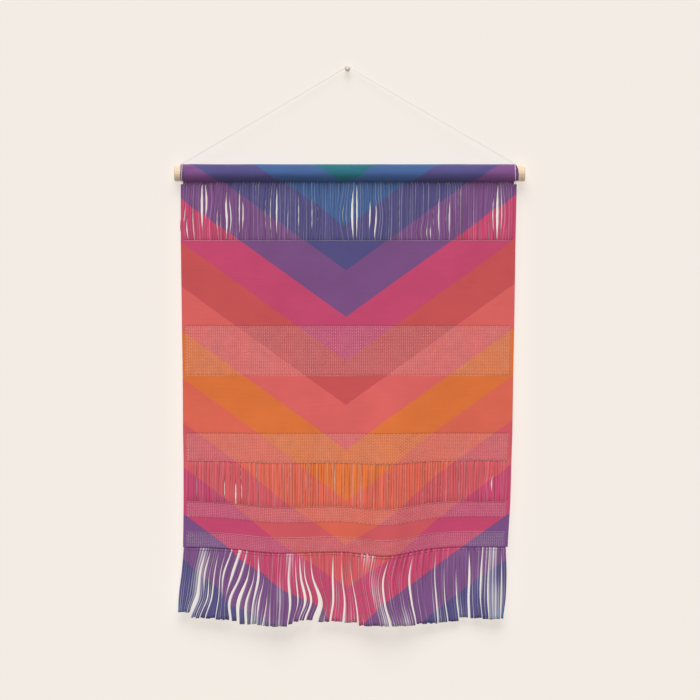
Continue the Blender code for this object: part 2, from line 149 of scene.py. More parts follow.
# Hanging cord
# One thin white three-ply cotton cord. It is tied round the sleeve and the rod near each end,
# through a notch in the cloth below the rod, and runs taut over the pin's neck between the ties.
ROD_DEPTH = -0.0131
ROD_HEIGHT = -0.1316
CORD_RADIUS = 0.0003
CORD_TIE_LEFT = -0.2063
CORD_TIE_RIGHT = 0.2089
CORD_TIE_RADIUS = 0.01234
CORD_TIE_PITCH = 0.0014
CORD_TIE_STEP = math.radians(15.0)
CORD_TIE_STEPS = 21
CORD_TIE_LEAVES = math.radians(25.0)
CORD_ROUTE = [
    (-0.2062, -0.0173, -0.1198),
    (-0.2057, -0.0166, -0.1192),
    (-0.2050, -0.0161, -0.1186),
    (-0.2041, -0.0159, -0.1179),
    (-0.1534, -0.0130, -0.0879),
    (-0.1026, -0.0101, -0.0580),
    (-0.0519, -0.0071, -0.0280),
    (-0.0012, -0.0042, 0.0020),
    (-0.0006, -0.0042, 0.0022),
    (0.0000, -0.0042, 0.0023),
    (0.0006, -0.0042, 0.0022),
    (0.0012, -0.0042, 0.0020),
    (0.0526, -0.0071, -0.0280),
    (0.1039, -0.0101, -0.0580),
    (0.1553, -0.0130, -0.0879),
    (0.2067, -0.0159, -0.1179),
    (0.2076, -0.0161, -0.1186),
    (0.2083, -0.0166, -0.1192),
    (0.2088, -0.0173, -0.1198),
]
CORD_LAY = 0.0036
CORD_POINT_SPACING = 0.00035
CORD_COLOUR = (0.90, 0.88, 0.85)
PLY_BULGE = 0.16
JOIN_DISTANCE = 0.0000001
KNOT_SIZE = 0.00034
KNOT_POINTS = 48
KNOT_ASIDE = 0.0004
KNOT_FORWARD = 0.0006
KNOT_RISE = 0.0004


def cord_tie(place, side):
    """Points of the turn round the sleeve, from its hidden end to where the cord leaves it."""
    points = []
    for step in range(CORD_TIE_STEPS, -1, -1):
        angle = CORD_TIE_LEAVES + step * CORD_TIE_STEP
        x = place + side * CORD_TIE_PITCH * step / CORD_TIE_STEPS
        depth = ROD_DEPTH - CORD_TIE_RADIUS * math.sin(angle)
        points.append(Vector((x, depth, ROD_HEIGHT + CORD_TIE_RADIUS * math.cos(angle))))
    return points


def evenly_spaced(route, spacing):
    """Points on the route that stand about the spacing apart."""
    points = [route[0]]
    for start, end in zip(route, route[1:]):
        pieces = max(1, round((end - start).length / spacing))
        points += [start.lerp(end, piece / pieces) for piece in range(1, pieces + 1)]
    return points


def directions_across(line):
    """Two directions at right angles to a line at each of its points, carried along it smoothly.

    The first sideways direction may be any that no line here starts along.
    """
    sideways = Vector((1.0, 0.3, 0.0))
    pairs = []
    for index in range(len(line)):
        along = (line[min(index + 1, len(line) - 1)] - line[max(index - 1, 0)]).normalized()
        sideways = (sideways - along * sideways.dot(along)).normalized()
        pairs.append((sideways, along.cross(sideways)))
    return pairs


def numbered_grid(sheet, columns, rows):
    """Adds a flat sheet whose points stand on whole numbers: x counts columns and y counts rows."""
    made = bmesh.ops.create_grid(sheet, x_segments=columns, y_segments=rows, size=0.5)["verts"]
    for point in made:
        point.co = Vector((round((point.co.x + 0.5) * columns), round((point.co.y + 0.5) * rows), 0.0))
    return made


def wind_cord(yarn, line, radius, lay, plies=3, columns=12):
    """Adds a cord of twisted plies along a line: a sheet is rolled up round it and its edges joined.

    The lay is the length in which a ply goes once round the cord.
    """
    flat = yarn.loops.layers.uv.verify()
    first_face = len(yarn.faces)
    points = numbered_grid(yarn, columns, len(line) - 1)
    yarn.faces.ensure_lookup_table()
    for face in yarn.faces[first_face:]:
        for loop in face.loops:
            loop[flat].uv = (loop.vert.co.x / columns, loop.vert.co.y)
    pairs = directions_across(line)
    travelled = [0.0]
    for start, end in zip(line, line[1:]):
        travelled.append(travelled[-1] + (end - start).length)
    for point in points:
        row = round(point.co.y)
        turn = math.tau * point.co.x / columns
        lobes = math.cos(plies * turn - math.tau * travelled[row] / lay * plies)
        reach = radius * (1.0 + PLY_BULGE * lobes)
        sideways, upward = pairs[row]
        point.co = line[row] + (sideways * math.cos(turn) + upward * math.sin(turn)) * reach
    bmesh.ops.remove_doubles(yarn, verts=points, dist=JOIN_DISTANCE)


def close_ends(yarn):
    """Fills the open ends of every cord in the shape and turns its faces outwards."""
    open_edges = [edge for edge in yarn.edges if edge.is_boundary]
    bmesh.ops.holes_fill(yarn, edges=open_edges)
    bmesh.ops.recalc_face_normals(yarn, faces=yarn.faces)


def finish_piece(name, shape, materials):
    """Makes the shape a smooth piece of the hanging that rides on its one body."""
    for face in shape.faces:
        face.smooth = True
    mesh = bpy.data.meshes.new(name)
    shape.to_mesh(mesh)
    shape.free()
    for material in materials:
        mesh.materials.append(material)
    piece = link_object(name, mesh)
    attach(piece, "root")
    return piece


def calculate(tree, operation, *values):
    """A Math node's result. Each value is a number or another node's output."""
    node = tree.nodes.new("ShaderNodeMath")
    node.operation = operation
    for socket, value in zip(node.inputs, values):
        if isinstance(value, bpy.types.NodeSocket):
            tree.links.new(value, socket)
        else:
            socket.default_value = value
    return node.outputs["Value"]


def new_group(name, inputs, outputs):
    """A node group with its named sockets, and its own input and output nodes."""
    group = bpy.data.node_groups.new(name, "ShaderNodeTree")
    for socket, kind, value in inputs:
        made = group.interface.new_socket(socket, in_out="INPUT", socket_type=kind)
        if value is not None:
            made.default_value = value
    for socket, kind in outputs:
        group.interface.new_socket(socket, in_out="OUTPUT", socket_type=kind)
    return group, group.nodes.new("NodeGroupInput"), group.nodes.new("NodeGroupOutput")


def place_group(tree, group, **values):
    """A node with the group, and with the given values in its sockets of those names."""
    node = tree.nodes.new("ShaderNodeGroup")
    node.node_tree = group
    for name, value in values.items():
        node.inputs[name.replace("_", " ")].default_value = value
    return node


def add_noise(tree, place, scale, detail=2.0):
    """Noise from 0 to 1 whose lumps are about one over the scale in size."""
    node = tree.nodes.new("ShaderNodeTexNoise")
    node.inputs["Scale"].default_value = scale
    node.inputs["Detail"].default_value = detail
    tree.links.new(place, node.inputs["Vector"])
    return node.outputs["Fac"]


def stretch_place(tree, place, across, along):
    """The place with its X and Y scaled. A small scale draws noise out in that direction."""
    node = tree.nodes.new("ShaderNodeMapping")
    node.inputs["Scale"].default_value = (across, along, 1.0)
    tree.links.new(place, node.inputs["Vector"])
    return node.outputs["Vector"]


def mix_colours(tree, share, first, second, how="MIX"):
    """The first colour with a share of the second in it. Each is a colour or a node's output."""
    node = tree.nodes.new("ShaderNodeMix")
    node.data_type = "RGBA"
    node.blend_type = how
    for socket, value in zip((node.inputs[0], node.inputs[6], node.inputs[7]), (share, first, second)):
        if isinstance(value, bpy.types.NodeSocket):
            tree.links.new(value, socket)
        else:
            socket.default_value = value
    return node.outputs[2]


def shade_colour(tree, colour, shade):
    """The colour times a shade that changes over the surface."""
    grey = tree.nodes.new("ShaderNodeCombineColor")
    for channel in grey.inputs:
        tree.links.new(shade, channel)
    return mix_colours(tree, 1.0, colour, grey.outputs["Color"], "MULTIPLY")


def add_relief(tree, shader, height, depth):
    """Raises the surface by the height, which is from 0 to 1, times the depth in metres."""
    bump = tree.nodes.new("ShaderNodeBump")
    bump.inputs["Distance"].default_value = depth
    tree.links.new(height, bump.inputs["Height"])
    tree.links.new(bump.outputs["Normal"], shader.inputs["Normal"])


# Uneven tone is shared by every finish: lighter and darker patches of the size that its scale gives
uneven_tone, group_in, group_out = new_group(
    "uneven tone",
    [
        ("Colour", "NodeSocketColor", None),
        ("Place", "NodeSocketVector", None),
        ("Scale", "NodeSocketFloat", 100.0),
        ("Darkest", "NodeSocketFloat", 0.9),
        ("Lightest", "NodeSocketFloat", 1.08),
    ],
    [("Colour", "NodeSocketColor")],
)
patches = uneven_tone.nodes.new("ShaderNodeTexNoise")
patches.inputs["Detail"].default_value = 3.0
spread = uneven_tone.nodes.new("ShaderNodeMapRange")
uneven_tone.links.new(group_in.outputs["Place"], patches.inputs["Vector"])
uneven_tone.links.new(group_in.outputs["Scale"], patches.inputs["Scale"])
uneven_tone.links.new(patches.outputs["Fac"], spread.inputs["Value"])
spread.inputs["From Min"].default_value = 0.3
spread.inputs["From Max"].default_value = 0.7
uneven_tone.links.new(group_in.outputs["Darkest"], spread.inputs["To Min"])
uneven_tone.links.new(group_in.outputs["Lightest"], spread.inputs["To Max"])
toned = shade_colour(uneven_tone, group_in.outputs["Colour"], spread.outputs["Result"])
uneven_tone.links.new(toned, group_out.inputs["Colour"])


def vary_tone(tree, colour, place, scale, darkest, lightest):
    """The colour with uneven tone over it, between the darkest and the lightest share."""
    node = place_group(tree, uneven_tone, Scale=scale, Darkest=darkest, Lightest=lightest)
    if isinstance(colour, bpy.types.NodeSocket):
        tree.links.new(colour, node.inputs["Colour"])
    else:
        node.inputs["Colour"].default_value = (*colour, 1.0)
    tree.links.new(place, node.inputs["Place"])
    return node.outputs["Colour"]


cord_cotton, tree, shader = plain_shader("white cotton cord", CORD_COLOUR, roughness=0.85)
shader.inputs["Specular IOR Level"].default_value = 0.2
own_place = tree.nodes.new("ShaderNodeTexCoord").outputs["Object"]
uneven_white = vary_tone(tree, CORD_COLOUR, own_place, scale=900.0, darkest=0.86, lightest=1.05)
tree.links.new(uneven_white, shader.inputs["Base Color"])
add_relief(tree, shader, add_noise(tree, own_place, scale=4000.0), depth=0.00006)

left_tie = cord_tie(CORD_TIE_LEFT, -1)
right_tie = cord_tie(CORD_TIE_RIGHT, 1)
cord_route = left_tie + [Vector(place) for place in CORD_ROUTE] + right_tie[::-1]
cord_shape = bmesh.new()
wind_cord(cord_shape, evenly_spaced(cord_route, CORD_POINT_SPACING), CORD_RADIUS, CORD_LAY)
close_ends(cord_shape)
hanging_cord = finish_piece("tied_hanging_cord", cord_shape, [cord_cotton])


def overhand_knot(middle):
    """Points of a small overhand knot, drawn tight, with its two ends hidden in it."""
    line = []
    for step in range(KNOT_POINTS + 1):
        turn = math.tau * step / KNOT_POINTS
        across = math.sin(turn) + 2.0 * math.sin(2.0 * turn)
        along = math.cos(turn) - 2.0 * math.cos(2.0 * turn)
        line.append(middle + KNOT_SIZE * Vector((across, along, -math.sin(3.0 * turn))))
    return line


# Each tie is closed by a small overhand knot on top of the sleeve, between its end and its start
knot_shape = bmesh.new()
sleeve_top = ROD_HEIGHT + CORD_TIE_RADIUS
for place, side in ((CORD_TIE_LEFT, -1), (CORD_TIE_RIGHT, 1)):
    middle = Vector((place + side * KNOT_ASIDE, ROD_DEPTH - KNOT_FORWARD, sleeve_top + KNOT_RISE))
    wind_cord(knot_shape, overhand_knot(middle), CORD_RADIUS, CORD_LAY)
close_ends(knot_shape)
cord_knots = finish_piece("cord_knots", knot_shape, [cord_cotton])

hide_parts("cord")
tuple(left_tie[0])


# Rod and wall pin
# The rod is a plain sanded softwood dowel, and the pin a small turned one of a greyer wood. Their
# solids have the right shape, so they stay and get the wood's grain, end grain and light wear.
WOOD_LIGHT = (0.84, 0.69, 0.53)
WOOD_DARK = (0.71, 0.51, 0.34)
WOOD_RINGS = 220.0
ROD_HEART = (0.0, 0.006, 0.124)
PIN_LIGHT = (0.83, 0.76, 0.69)
PIN_DARK = (0.62, 0.54, 0.46)
PIN_RINGS = 63.0
PIN_HEART = (0.0, 0.0, 0.0)
RINGS_SHOW = 0.55
ALONG_ROD = (0.0, 0.0, 0.0)
ALONG_PIN = (0.0, 0.0, math.pi / 2.0)

wood_grain, group_in, group_out = new_group(
    "wood grain",
    [
        ("Place", "NodeSocketVector", None),
        ("Ring Scale", "NodeSocketFloat", 300.0),
        ("Light", "NodeSocketColor", None),
        ("Dark", "NodeSocketColor", None),
    ],
    [("Colour", "NodeSocketColor"), ("Height", "NodeSocketFloat")],
)
rings = wood_grain.nodes.new("ShaderNodeTexWave")
rings.wave_type = "RINGS"
rings.rings_direction = "X"
rings.inputs["Distortion"].default_value = 2.2
rings.inputs["Detail"].default_value = 2.0
rings.inputs["Detail Scale"].default_value = 0.6
wood_grain.links.new(group_in.outputs["Place"], rings.inputs["Vector"])
wood_grain.links.new(group_in.outputs["Ring Scale"], rings.inputs["Scale"])
drawn_out = stretch_place(wood_grain, group_in.outputs["Place"], across=0.06, along=1.0)
fibres = add_noise(wood_grain, drawn_out, scale=1800.0)
ring_share = calculate(wood_grain, "MULTIPLY", rings.outputs["Fac"], RINGS_SHOW)
grain = calculate(wood_grain, "MULTIPLY_ADD", fibres, 1.0 - RINGS_SHOW, ring_share)
wood_colour = mix_colours(wood_grain, grain, group_in.outputs["Light"], group_in.outputs["Dark"])
wood_grain.links.new(wood_colour, group_out.inputs["Colour"])
wood_grain.links.new(fibres, group_out.inputs["Height"])


def wooden(name, light, dark, ring_scale, heart, turn):
    """A wood with its growth rings round its heart and its grain along X, before it is turned."""
    material, tree, shader = plain_shader(name, light, roughness=0.55)
    shader.inputs["Specular IOR Level"].default_value = 0.35
    turned = tree.nodes.new("ShaderNodeMapping")
    turned.inputs["Rotation"].default_value = turn
    turned.inputs["Location"].default_value = heart
    place = tree.nodes.new("ShaderNodeTexCoord").outputs["Object"]
    tree.links.new(place, turned.inputs["Vector"])
    wood = place_group(tree, wood_grain, Ring_Scale=ring_scale, Light=(*light, 1.0), Dark=(*dark, 1.0))
    tree.links.new(turned.outputs["Vector"], wood.inputs["Place"])
    worn = vary_tone(tree, wood.outputs["Colour"], place, scale=160.0, darkest=0.92, lightest=1.06)
    tree.links.new(worn, shader.inputs["Base Color"])
    add_relief(tree, shader, wood.outputs["Height"], depth=0.00005)
    return material


def give_material(node, material):
    """Gives a solid that stays a finished material in place of its plain one."""
    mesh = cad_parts[node].data
    mesh.materials.clear()
    mesh.materials.append(material)


dowel_wood = wooden("sanded pale dowel", WOOD_LIGHT, WOOD_DARK, WOOD_RINGS, ROD_HEART, ALONG_ROD)
pin_wood = wooden("turned pin wood", PIN_LIGHT, PIN_DARK, PIN_RINGS, PIN_HEART, ALONG_PIN)
give_material("rod", dowel_wood)
give_material("wall_pin", pin_wood)


# Woven cloth
# One length of printed polyester with its top turned over the rod and sewn down as a sleeve. The
# plain bands are close weft-faced weave, and plain selvedges run down both sides past the others.
CLOTH_THICKNESS = 0.0008
ROLL_RADIUS = 0.0109
ROLL_STARTS = math.radians(9.0)
SEAM_HALF_GAP = 0.00065
SEAM_HEIGHT = ROD_HEIGHT - 0.0116
FLAP = 0.0029
SLEEVE_LEFT = -0.2084
SLEEVE_RIGHT = 0.2133
SLEEVE_PULLED_IN = 0.0035
SLEEVE_SLACK = 0.0008
SLACK_WAVES = 18.0
SLACK_ROUND = 1.3
SLEEVE_RIDGE = 0.0007
RIDGE_ANGLE = math.radians(272.0)
RIDGE_SPREAD = 0.25
TIE_SPREAD = 0.006
NOTCH_LEFT = -0.2054
NOTCH_RIGHT = 0.2080
NOTCH_FOOT = -0.1451
NOTCH_REACH = math.radians(30.0)
SELVEDGE = 0.0036
WEAVE_STEP = 0.0026
SLEEVE_STEP = 0.0016
EDGE_ROUNDING = 0.0002
SAME_HEIGHT = 0.00001
CLOTH_FLAT_WIDTH = 0.422

Band = namedtuple("Band", "name weave top bottom left right")
BANDS = [
    Band("heading", "open", -0.1454, -0.1454, -0.2084, 0.2115),
    Band("upper open warp", "open", -0.1454, -0.2154, -0.2084, 0.2100),
    Band("upper plain", "plain", -0.2154, -0.3213, -0.2070, 0.2084),
    Band("wide mesh", "mesh", -0.3213, -0.3844, -0.2060, 0.2071),
    Band("middle plain", "plain", -0.3844, -0.4556, -0.2055, 0.2060),
    Band("second mesh", "mesh", -0.4556, -0.4906, -0.2049, 0.2048),
    Band("lower open warp", "open", -0.4906, -0.5417, -0.2048, 0.2034),
    Band("third mesh", "mesh", -0.5417, -0.5615, -0.2049, 0.2022),
    Band("narrow plain", "plain", -0.5615, -0.5795, -0.2051, 0.2011),
    Band("hem mesh", "mesh", -0.5795, -0.5985, -0.2054, 0.2000),
]
PANEL_TOP = BANDS[0].top
HEM_HEIGHT = BANDS[-1].bottom


def bands_of(weave):
    """The cloth's bands of one weave, without its heading, which has no height."""
    return [band for band in BANDS[1:] if band.weave == weave]


def total_height(bands):
    """The height of the bands together."""
    return sum(band.top - band.bottom for band in bands)


# The folds of the lower half: each one's middle, how wide, how far forward and how far it droops
Fold = namedtuple("Fold", "centre spread forward droop")
FOLDS = [
    Fold(-0.200, 0.030, 0.003, 0.0000),
    Fold(-0.084, 0.041, 0.014, 0.0068),
    Fold(-0.024, 0.025, -0.003, 0.0025),
    Fold(0.046, 0.034, 0.020, 0.0100),
    Fold(0.125, 0.034, -0.006, 0.0000),
    Fold(0.195, 0.025, 0.003, 0.0000),
]
FORWARD_STARTS = -0.34
FORWARD_FULL = -0.58
DROOP_STARTS = -0.44
DROOP_FULL = -0.55

# Soft creases: each one's middle, its ends, its half width, how far it stands out
# and how far it leans to the right for each metre down. Those that reach the hem don't fade there.
Crease = namedtuple("Crease", "centre top bottom spread forward lean")
CREASES = [
    Crease(-0.150, -0.22, -0.40, 0.016, 0.0009, 0.05),
    Crease(-0.095, -0.38, -0.60, 0.009, -0.0014, -0.04),
    Crease(-0.060, -0.24, -0.38, 0.020, -0.0008, 0.02),
    Crease(0.010, -0.40, -0.60, 0.008, -0.0013, 0.05),
    Crease(0.060, -0.22, -0.36, 0.018, 0.0009, -0.04),
    Crease(0.085, -0.42, -0.60, 0.009, -0.0015, -0.06),
    Crease(0.150, -0.24, -0.45, 0.014, -0.0008, 0.03),
    Crease(0.165, -0.46, -0.60, 0.010, 0.0010, 0.02),
]
CREASE_FADES_IN = 0.05
CREASE_FADES_OUT = 0.04


def smooth_step(start, end, value):
    """From 0 at the start to 1 at the end, level at both."""
    share = min(1.0, max(0.0, (value - start) / (end - start)))
    return share * share * (3.0 - 2.0 * share)


def bell(distance, spread):
    """From 1 in the middle down to 0 on both sides."""
    return math.exp(-0.5 * (distance / spread) ** 2)


def crease_forward(crease, x, height):
    """How far a crease stands out at a point of the flat cloth."""
    ends = smooth_step(crease.top, crease.top - CREASE_FADES_IN, height)
    if crease.bottom > HEM_HEIGHT:
        ends *= smooth_step(crease.bottom, crease.bottom + CREASE_FADES_OUT, height)
    middle = crease.centre + crease.lean * (crease.top - height)
    return ends * crease.forward * bell(x - middle, crease.spread)


def hang(x, height):
    """A point of the hanging panel: set forward and lowered by the folds that cross it."""
    forward = smooth_step(FORWARD_STARTS, FORWARD_FULL, height)
    droop = smooth_step(DROOP_STARTS, DROOP_FULL, height)
    out = forward * sum(fold.forward * bell(x - fold.centre, fold.spread) for fold in FOLDS)
    out += sum(crease_forward(crease, x, height) for crease in CREASES)
    down = droop * sum(fold.droop * bell(x - fold.centre, fold.spread) for fold in FOLDS)
    return Vector((x, ROD_DEPTH - SEAM_HALF_GAP - out, height - down))


SEAM_RUN = math.dist(
    (-SEAM_HALF_GAP, SEAM_HEIGHT - ROD_HEIGHT),
    (-ROLL_RADIUS * math.sin(ROLL_STARTS), -ROLL_RADIUS * math.cos(ROLL_STARTS)),
)
ROLL_LENGTH = ROLL_RADIUS * (math.tau - 2.0 * ROLL_STARTS)
SLEEVE_LENGTH = 2.0 * SEAM_RUN + ROLL_LENGTH + FLAP


def roll_angle(climb):
    """How far round the rod from straight down, for a point of the sleeve at its climb above the seam."""
    turned = min(max(climb - SEAM_RUN, 0.0), ROLL_LENGTH) / ROLL_RADIUS
    return math.tau - ROLL_STARTS - turned


def place_on_rod(x, climb):
    """A point of the sleeve, which climbs from the seam up the rod's front, over it and down behind.

    It is slack in soft waves, with a low ridge along its front, and lies tight under the cord's ties.
    """
    angle = roll_angle(climb)
    wave = noise.noise(Vector((x * SLACK_WAVES, angle * SLACK_ROUND, 0.0)))
    slack = SLEEVE_SLACK * max(0.0, wave) + SLEEVE_RIDGE * bell(angle - RIDGE_ANGLE, RIDGE_SPREAD)
    slack *= 1.0 - bell(x - CORD_TIE_LEFT, TIE_SPREAD) - bell(x - CORD_TIE_RIGHT, TIE_SPREAD)
    reach = ROLL_RADIUS + slack
    on_roll = Vector((x, ROD_DEPTH + reach * math.sin(angle), ROD_HEIGHT - reach * math.cos(angle)))
    if climb < SEAM_RUN:
        seam = Vector((x, ROD_DEPTH - SEAM_HALF_GAP, SEAM_HEIGHT))
        return seam.lerp(on_roll, climb / SEAM_RUN)
    past_roll = climb - SEAM_RUN - ROLL_LENGTH
    if past_roll <= 0.0:
        return on_roll
    seam = Vector((x, ROD_DEPTH + SEAM_HALF_GAP, SEAM_HEIGHT))
    if past_roll < SEAM_RUN:
        return on_roll.lerp(seam, past_roll / SEAM_RUN)
    return seam - Vector((0.0, 0.0, past_roll - SEAM_RUN))


def place_cloth(x, height):
    """Where a point of the flat cloth is when it hangs: heights above the seam go round the rod."""
    if height > SEAM_HEIGHT:
        return place_on_rod(x, height - SEAM_HEIGHT)
    return hang(x, height)


def cloth_sides(height):
    """The cloth's left and right side edge at a height of the flat cloth."""
    if height > PANEL_TOP + SAME_HEIGHT:
        angle = roll_angle(height - SEAM_HEIGHT)
        if math.cos(angle) > math.cos(NOTCH_REACH):
            return NOTCH_LEFT, NOTCH_RIGHT
        return SLEEVE_LEFT, SLEEVE_RIGHT - SLEEVE_PULLED_IN * max(0.0, -math.cos(angle)) ** 2
    for above, band in zip(BANDS, BANDS[1:]):
        if height >= band.bottom - SAME_HEIGHT:
            share = (band.top - height) / (band.top - band.bottom)
            left = above.left + (band.left - above.left) * share
            return left, above.right + (band.right - above.right) * share
    return BANDS[-1].left, BANDS[-1].right


def spaced(start, end, step):
    """Evenly spaced values, with one more just inside each end, where the cloth's edge is rounded."""
    count = max(1, round((end - start) / step))
    inner = [start + (end - start) * index / count for index in range(1, count)]
    return [start, start + EDGE_ROUNDING] + inner + [end - EDGE_ROUNDING, end]


def keep_flat_place(cloth):
    """Notes where each point lies on the flat cloth, because the print and the weave follow it."""
    flat = cloth.loops.layers.uv.verify()
    for face in cloth.faces:
        for loop in face.loops:
            loop[flat].uv = (loop.vert.co.x, loop.vert.co.z)


# Columns are shares of the width between the selvedges, with minus and over one in the selvedges
columns = [column - 1.0 for column in spaced(0.0, 1.0, 0.5)][:-1]
columns += spaced(0.0, 1.0, WEAVE_STEP / CLOTH_FLAT_WIDTH)[:-1]
columns += [column + 1.0 for column in spaced(0.0, 1.0, 0.5)]
heights = []
for band in reversed(BANDS[1:]):
    step = WEAVE_STEP if band.weave == "plain" else 2.0 * WEAVE_STEP
    heights += spaced(band.bottom, band.top, step)[:-1]
heights += [PANEL_TOP, NOTCH_FOOT]
heights += spaced(SEAM_HEIGHT, SEAM_HEIGHT + SLEEVE_LENGTH - FLAP, SLEEVE_STEP)
heights.append(SEAM_HEIGHT + SLEEVE_LENGTH)

cloth_shape = bmesh.new()
numbered_grid(cloth_shape, len(columns) - 1, len(heights) - 1)
left_out = []
for face in cloth_shape.faces:
    middle = face.calc_center_median()
    height = heights[math.floor(middle.y)]
    between_selvedges = 0.0 <= columns[math.floor(middle.x)] < 1.0
    in_plain_band = any(band.bottom <= height < band.top for band in bands_of("plain"))
    if between_selvedges and height < PANEL_TOP and not in_plain_band:
        left_out.append(face)
bmesh.ops.delete(cloth_shape, geom=left_out, context="FACES")
for point in cloth_shape.verts:
    share = columns[round(point.co.x)]
    height = heights[round(point.co.y)]
    left, right = cloth_sides(height)
    inner = right - left - 2.0 * SELVEDGE
    in_selvedges = min(0.0, share) + max(0.0, share - 1.0)
    x = left + SELVEDGE + inner * min(1.0, max(0.0, share)) + SELVEDGE * in_selvedges
    point.co = Vector((x, 0.0, height))
keep_flat_place(cloth_shape)
for point in cloth_shape.verts:
    point.co = place_cloth(point.co.x, point.co.z)


def give_thickness(piece, thickness):
    """Gives a sheet its thickness, with the second material on its back."""
    solidify = piece.modifiers.new("thickness", "SOLIDIFY")
    solidify.thickness = thickness
    solidify.offset = 0.0
    solidify.material_offset = 1


# The print is a plain broad chevron of even bands, and it runs on through the open warp and fringe
CHEVRON_TOP = -0.085
CHEVRON_RISE = 0.72
CHEVRON_MIDDLE = -0.002
CHEVRON_BAND = 0.056
PRINT_BLEED = 0.0012
PRINT_COLOURS = [
    (0.026, 0.156, 0.205),
    (0.061, 0.125, 0.301),
    (0.092, 0.081, 0.231),
    (0.205, 0.083, 0.240),
    (0.578, 0.069, 0.165),
    (0.604, 0.091, 0.095),
    (0.730, 0.130, 0.122),
    (0.745, 0.178, 0.045),
    (0.740, 0.140, 0.090),
    (0.660, 0.105, 0.125),
    (0.578, 0.069, 0.165),
    (0.205, 0.083, 0.240),
    (0.092, 0.081, 0.231),
    (0.061, 0.125, 0.301),
]
UNDYED = (0.80, 0.77, 0.80)

chevron_print, group_in, group_out = new_group(
    "chevron print", [("Flat Place", "NodeSocketVector", None)], [("Colour", "NodeSocketColor")]
)
split = chevron_print.nodes.new("ShaderNodeSeparateXYZ")
chevron_print.links.new(group_in.outputs["Flat Place"], split.inputs["Vector"])
to_right = calculate(chevron_print, "SUBTRACT", split.outputs["X"], CHEVRON_MIDDLE)
from_middle = calculate(chevron_print, "ABSOLUTE", to_right)
from_top = calculate(chevron_print, "SUBTRACT", CHEVRON_TOP, split.outputs["Y"])
down_bands = calculate(chevron_print, "MULTIPLY_ADD", from_middle, CHEVRON_RISE, from_top)
bleed = add_noise(chevron_print, group_in.outputs["Flat Place"], scale=700.0)
down_bands = calculate(chevron_print, "MULTIPLY_ADD", bleed, PRINT_BLEED, down_bands)
ramp = chevron_print.nodes.new("ShaderNodeValToRGB")
ramp.color_ramp.interpolation = "CONSTANT"
stops = ramp.color_ramp.elements
while len(stops) < len(PRINT_COLOURS):
    stops.new(1.0)
for index, colour in enumerate(PRINT_COLOURS):
    stops[index].position = index / len(PRINT_COLOURS)
    stops[index].color = (*colour, 1.0)
whole_print = CHEVRON_BAND * len(PRINT_COLOURS)
share_down = calculate(chevron_print, "DIVIDE", down_bands, whole_print)
chevron_print.links.new(share_down, ramp.inputs["Fac"])
chevron_print.links.new(ramp.outputs["Color"], group_out.inputs["Colour"])

# Weft-faced plain weave: rounded wefts over sunk warps, offset by half a warp on each next weft
WEFT_DIP = 0.2
WEFT_TOP_HIGHLIGHT = 0.16
GROOVE_SHADE = 0.86

close_weave, group_in, group_out = new_group(
    "close weave",
    [
        ("Flat Place", "NodeSocketVector", None),
        ("Wefts", "NodeSocketFloat", 900.0),
        ("Warps", "NodeSocketFloat", 640.0),
    ],
    [("Height", "NodeSocketFloat")],
)
split = close_weave.nodes.new("ShaderNodeSeparateXYZ")
close_weave.links.new(group_in.outputs["Flat Place"], split.inputs["Vector"])
weft = calculate(close_weave, "MULTIPLY", split.outputs["Y"], group_in.outputs["Wefts"])
weft_turn = calculate(close_weave, "MULTIPLY", weft, math.pi)
weft_round = calculate(close_weave, "ABSOLUTE", calculate(close_weave, "SINE", weft_turn))
warp = calculate(close_weave, "MULTIPLY", split.outputs["X"], group_in.outputs["Warps"])
offset_warp = calculate(close_weave, "MULTIPLY_ADD", calculate(close_weave, "FLOOR", weft), 0.5, warp)
warp_turn = calculate(close_weave, "MULTIPLY", offset_warp, math.tau)
warp_wave = calculate(close_weave, "COSINE", warp_turn)
over_under = calculate(close_weave, "MULTIPLY_ADD", warp_wave, WEFT_DIP, 1.0 - WEFT_DIP)
weave_height = calculate(close_weave, "MULTIPLY", weft_round, over_under)
close_weave.links.new(weave_height, group_out.inputs["Height"])


def printed_yarn_shader(name):
    """A cloth material with its print, and the flat place that both print and weave follow."""
    material, tree, shader = plain_shader(name, PRINT_COLOURS[0], roughness=0.9)
    shader.inputs["Specular IOR Level"].default_value = 0.15
    shader.inputs["Sheen Weight"].default_value = 0.08
    shader.inputs["Sheen Roughness"].default_value = 0.5
    flat_place = tree.nodes.new("ShaderNodeUVMap").outputs["UV"]
    printed = place_group(tree, chevron_print)
    tree.links.new(flat_place, printed.inputs["Flat Place"])
    return material, tree, shader, flat_place, printed.outputs["Colour"]


def woven_material(name, fade):
    """Close weave with the print, faded by a share towards the undyed yarn."""
    material, tree, shader, flat_place, colour = printed_yarn_shader(name)
    weave = place_group(tree, close_weave)
    tree.links.new(flat_place, weave.inputs["Flat Place"])
    height = weave.outputs["Height"]
    colour = mix_colours(tree, fade, colour, (*UNDYED, 1.0))
    # Painted light and shade: the weft tops are lightened as a painted highlight, and the grooves between
    # the wefts are darkened as painted shade.
    shade = calculate(tree, "MULTIPLY_ADD", height, WEFT_TOP_HIGHLIGHT, GROOVE_SHADE)
    colour = shade_colour(tree, colour, shade)
    streaks = stretch_place(tree, flat_place, across=1.0, along=24.0)
    colour = vary_tone(tree, colour, streaks, scale=30.0, darkest=0.975, lightest=1.025)
    colour = vary_tone(tree, colour, flat_place, scale=28.0, darkest=0.96, lightest=1.04)
    tree.links.new(colour, shader.inputs["Base Color"])
    add_relief(tree, shader, height, depth=0.00018)
    return material


printed_weave = woven_material("printed plain weave", fade=0.0)
weave_back = woven_material("weave back", fade=0.62)
woven_cloth = finish_piece("woven_cloth", cloth_shape, [printed_weave, weave_back])
give_thickness(woven_cloth, CLOTH_THICKNESS)
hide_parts("cloth")
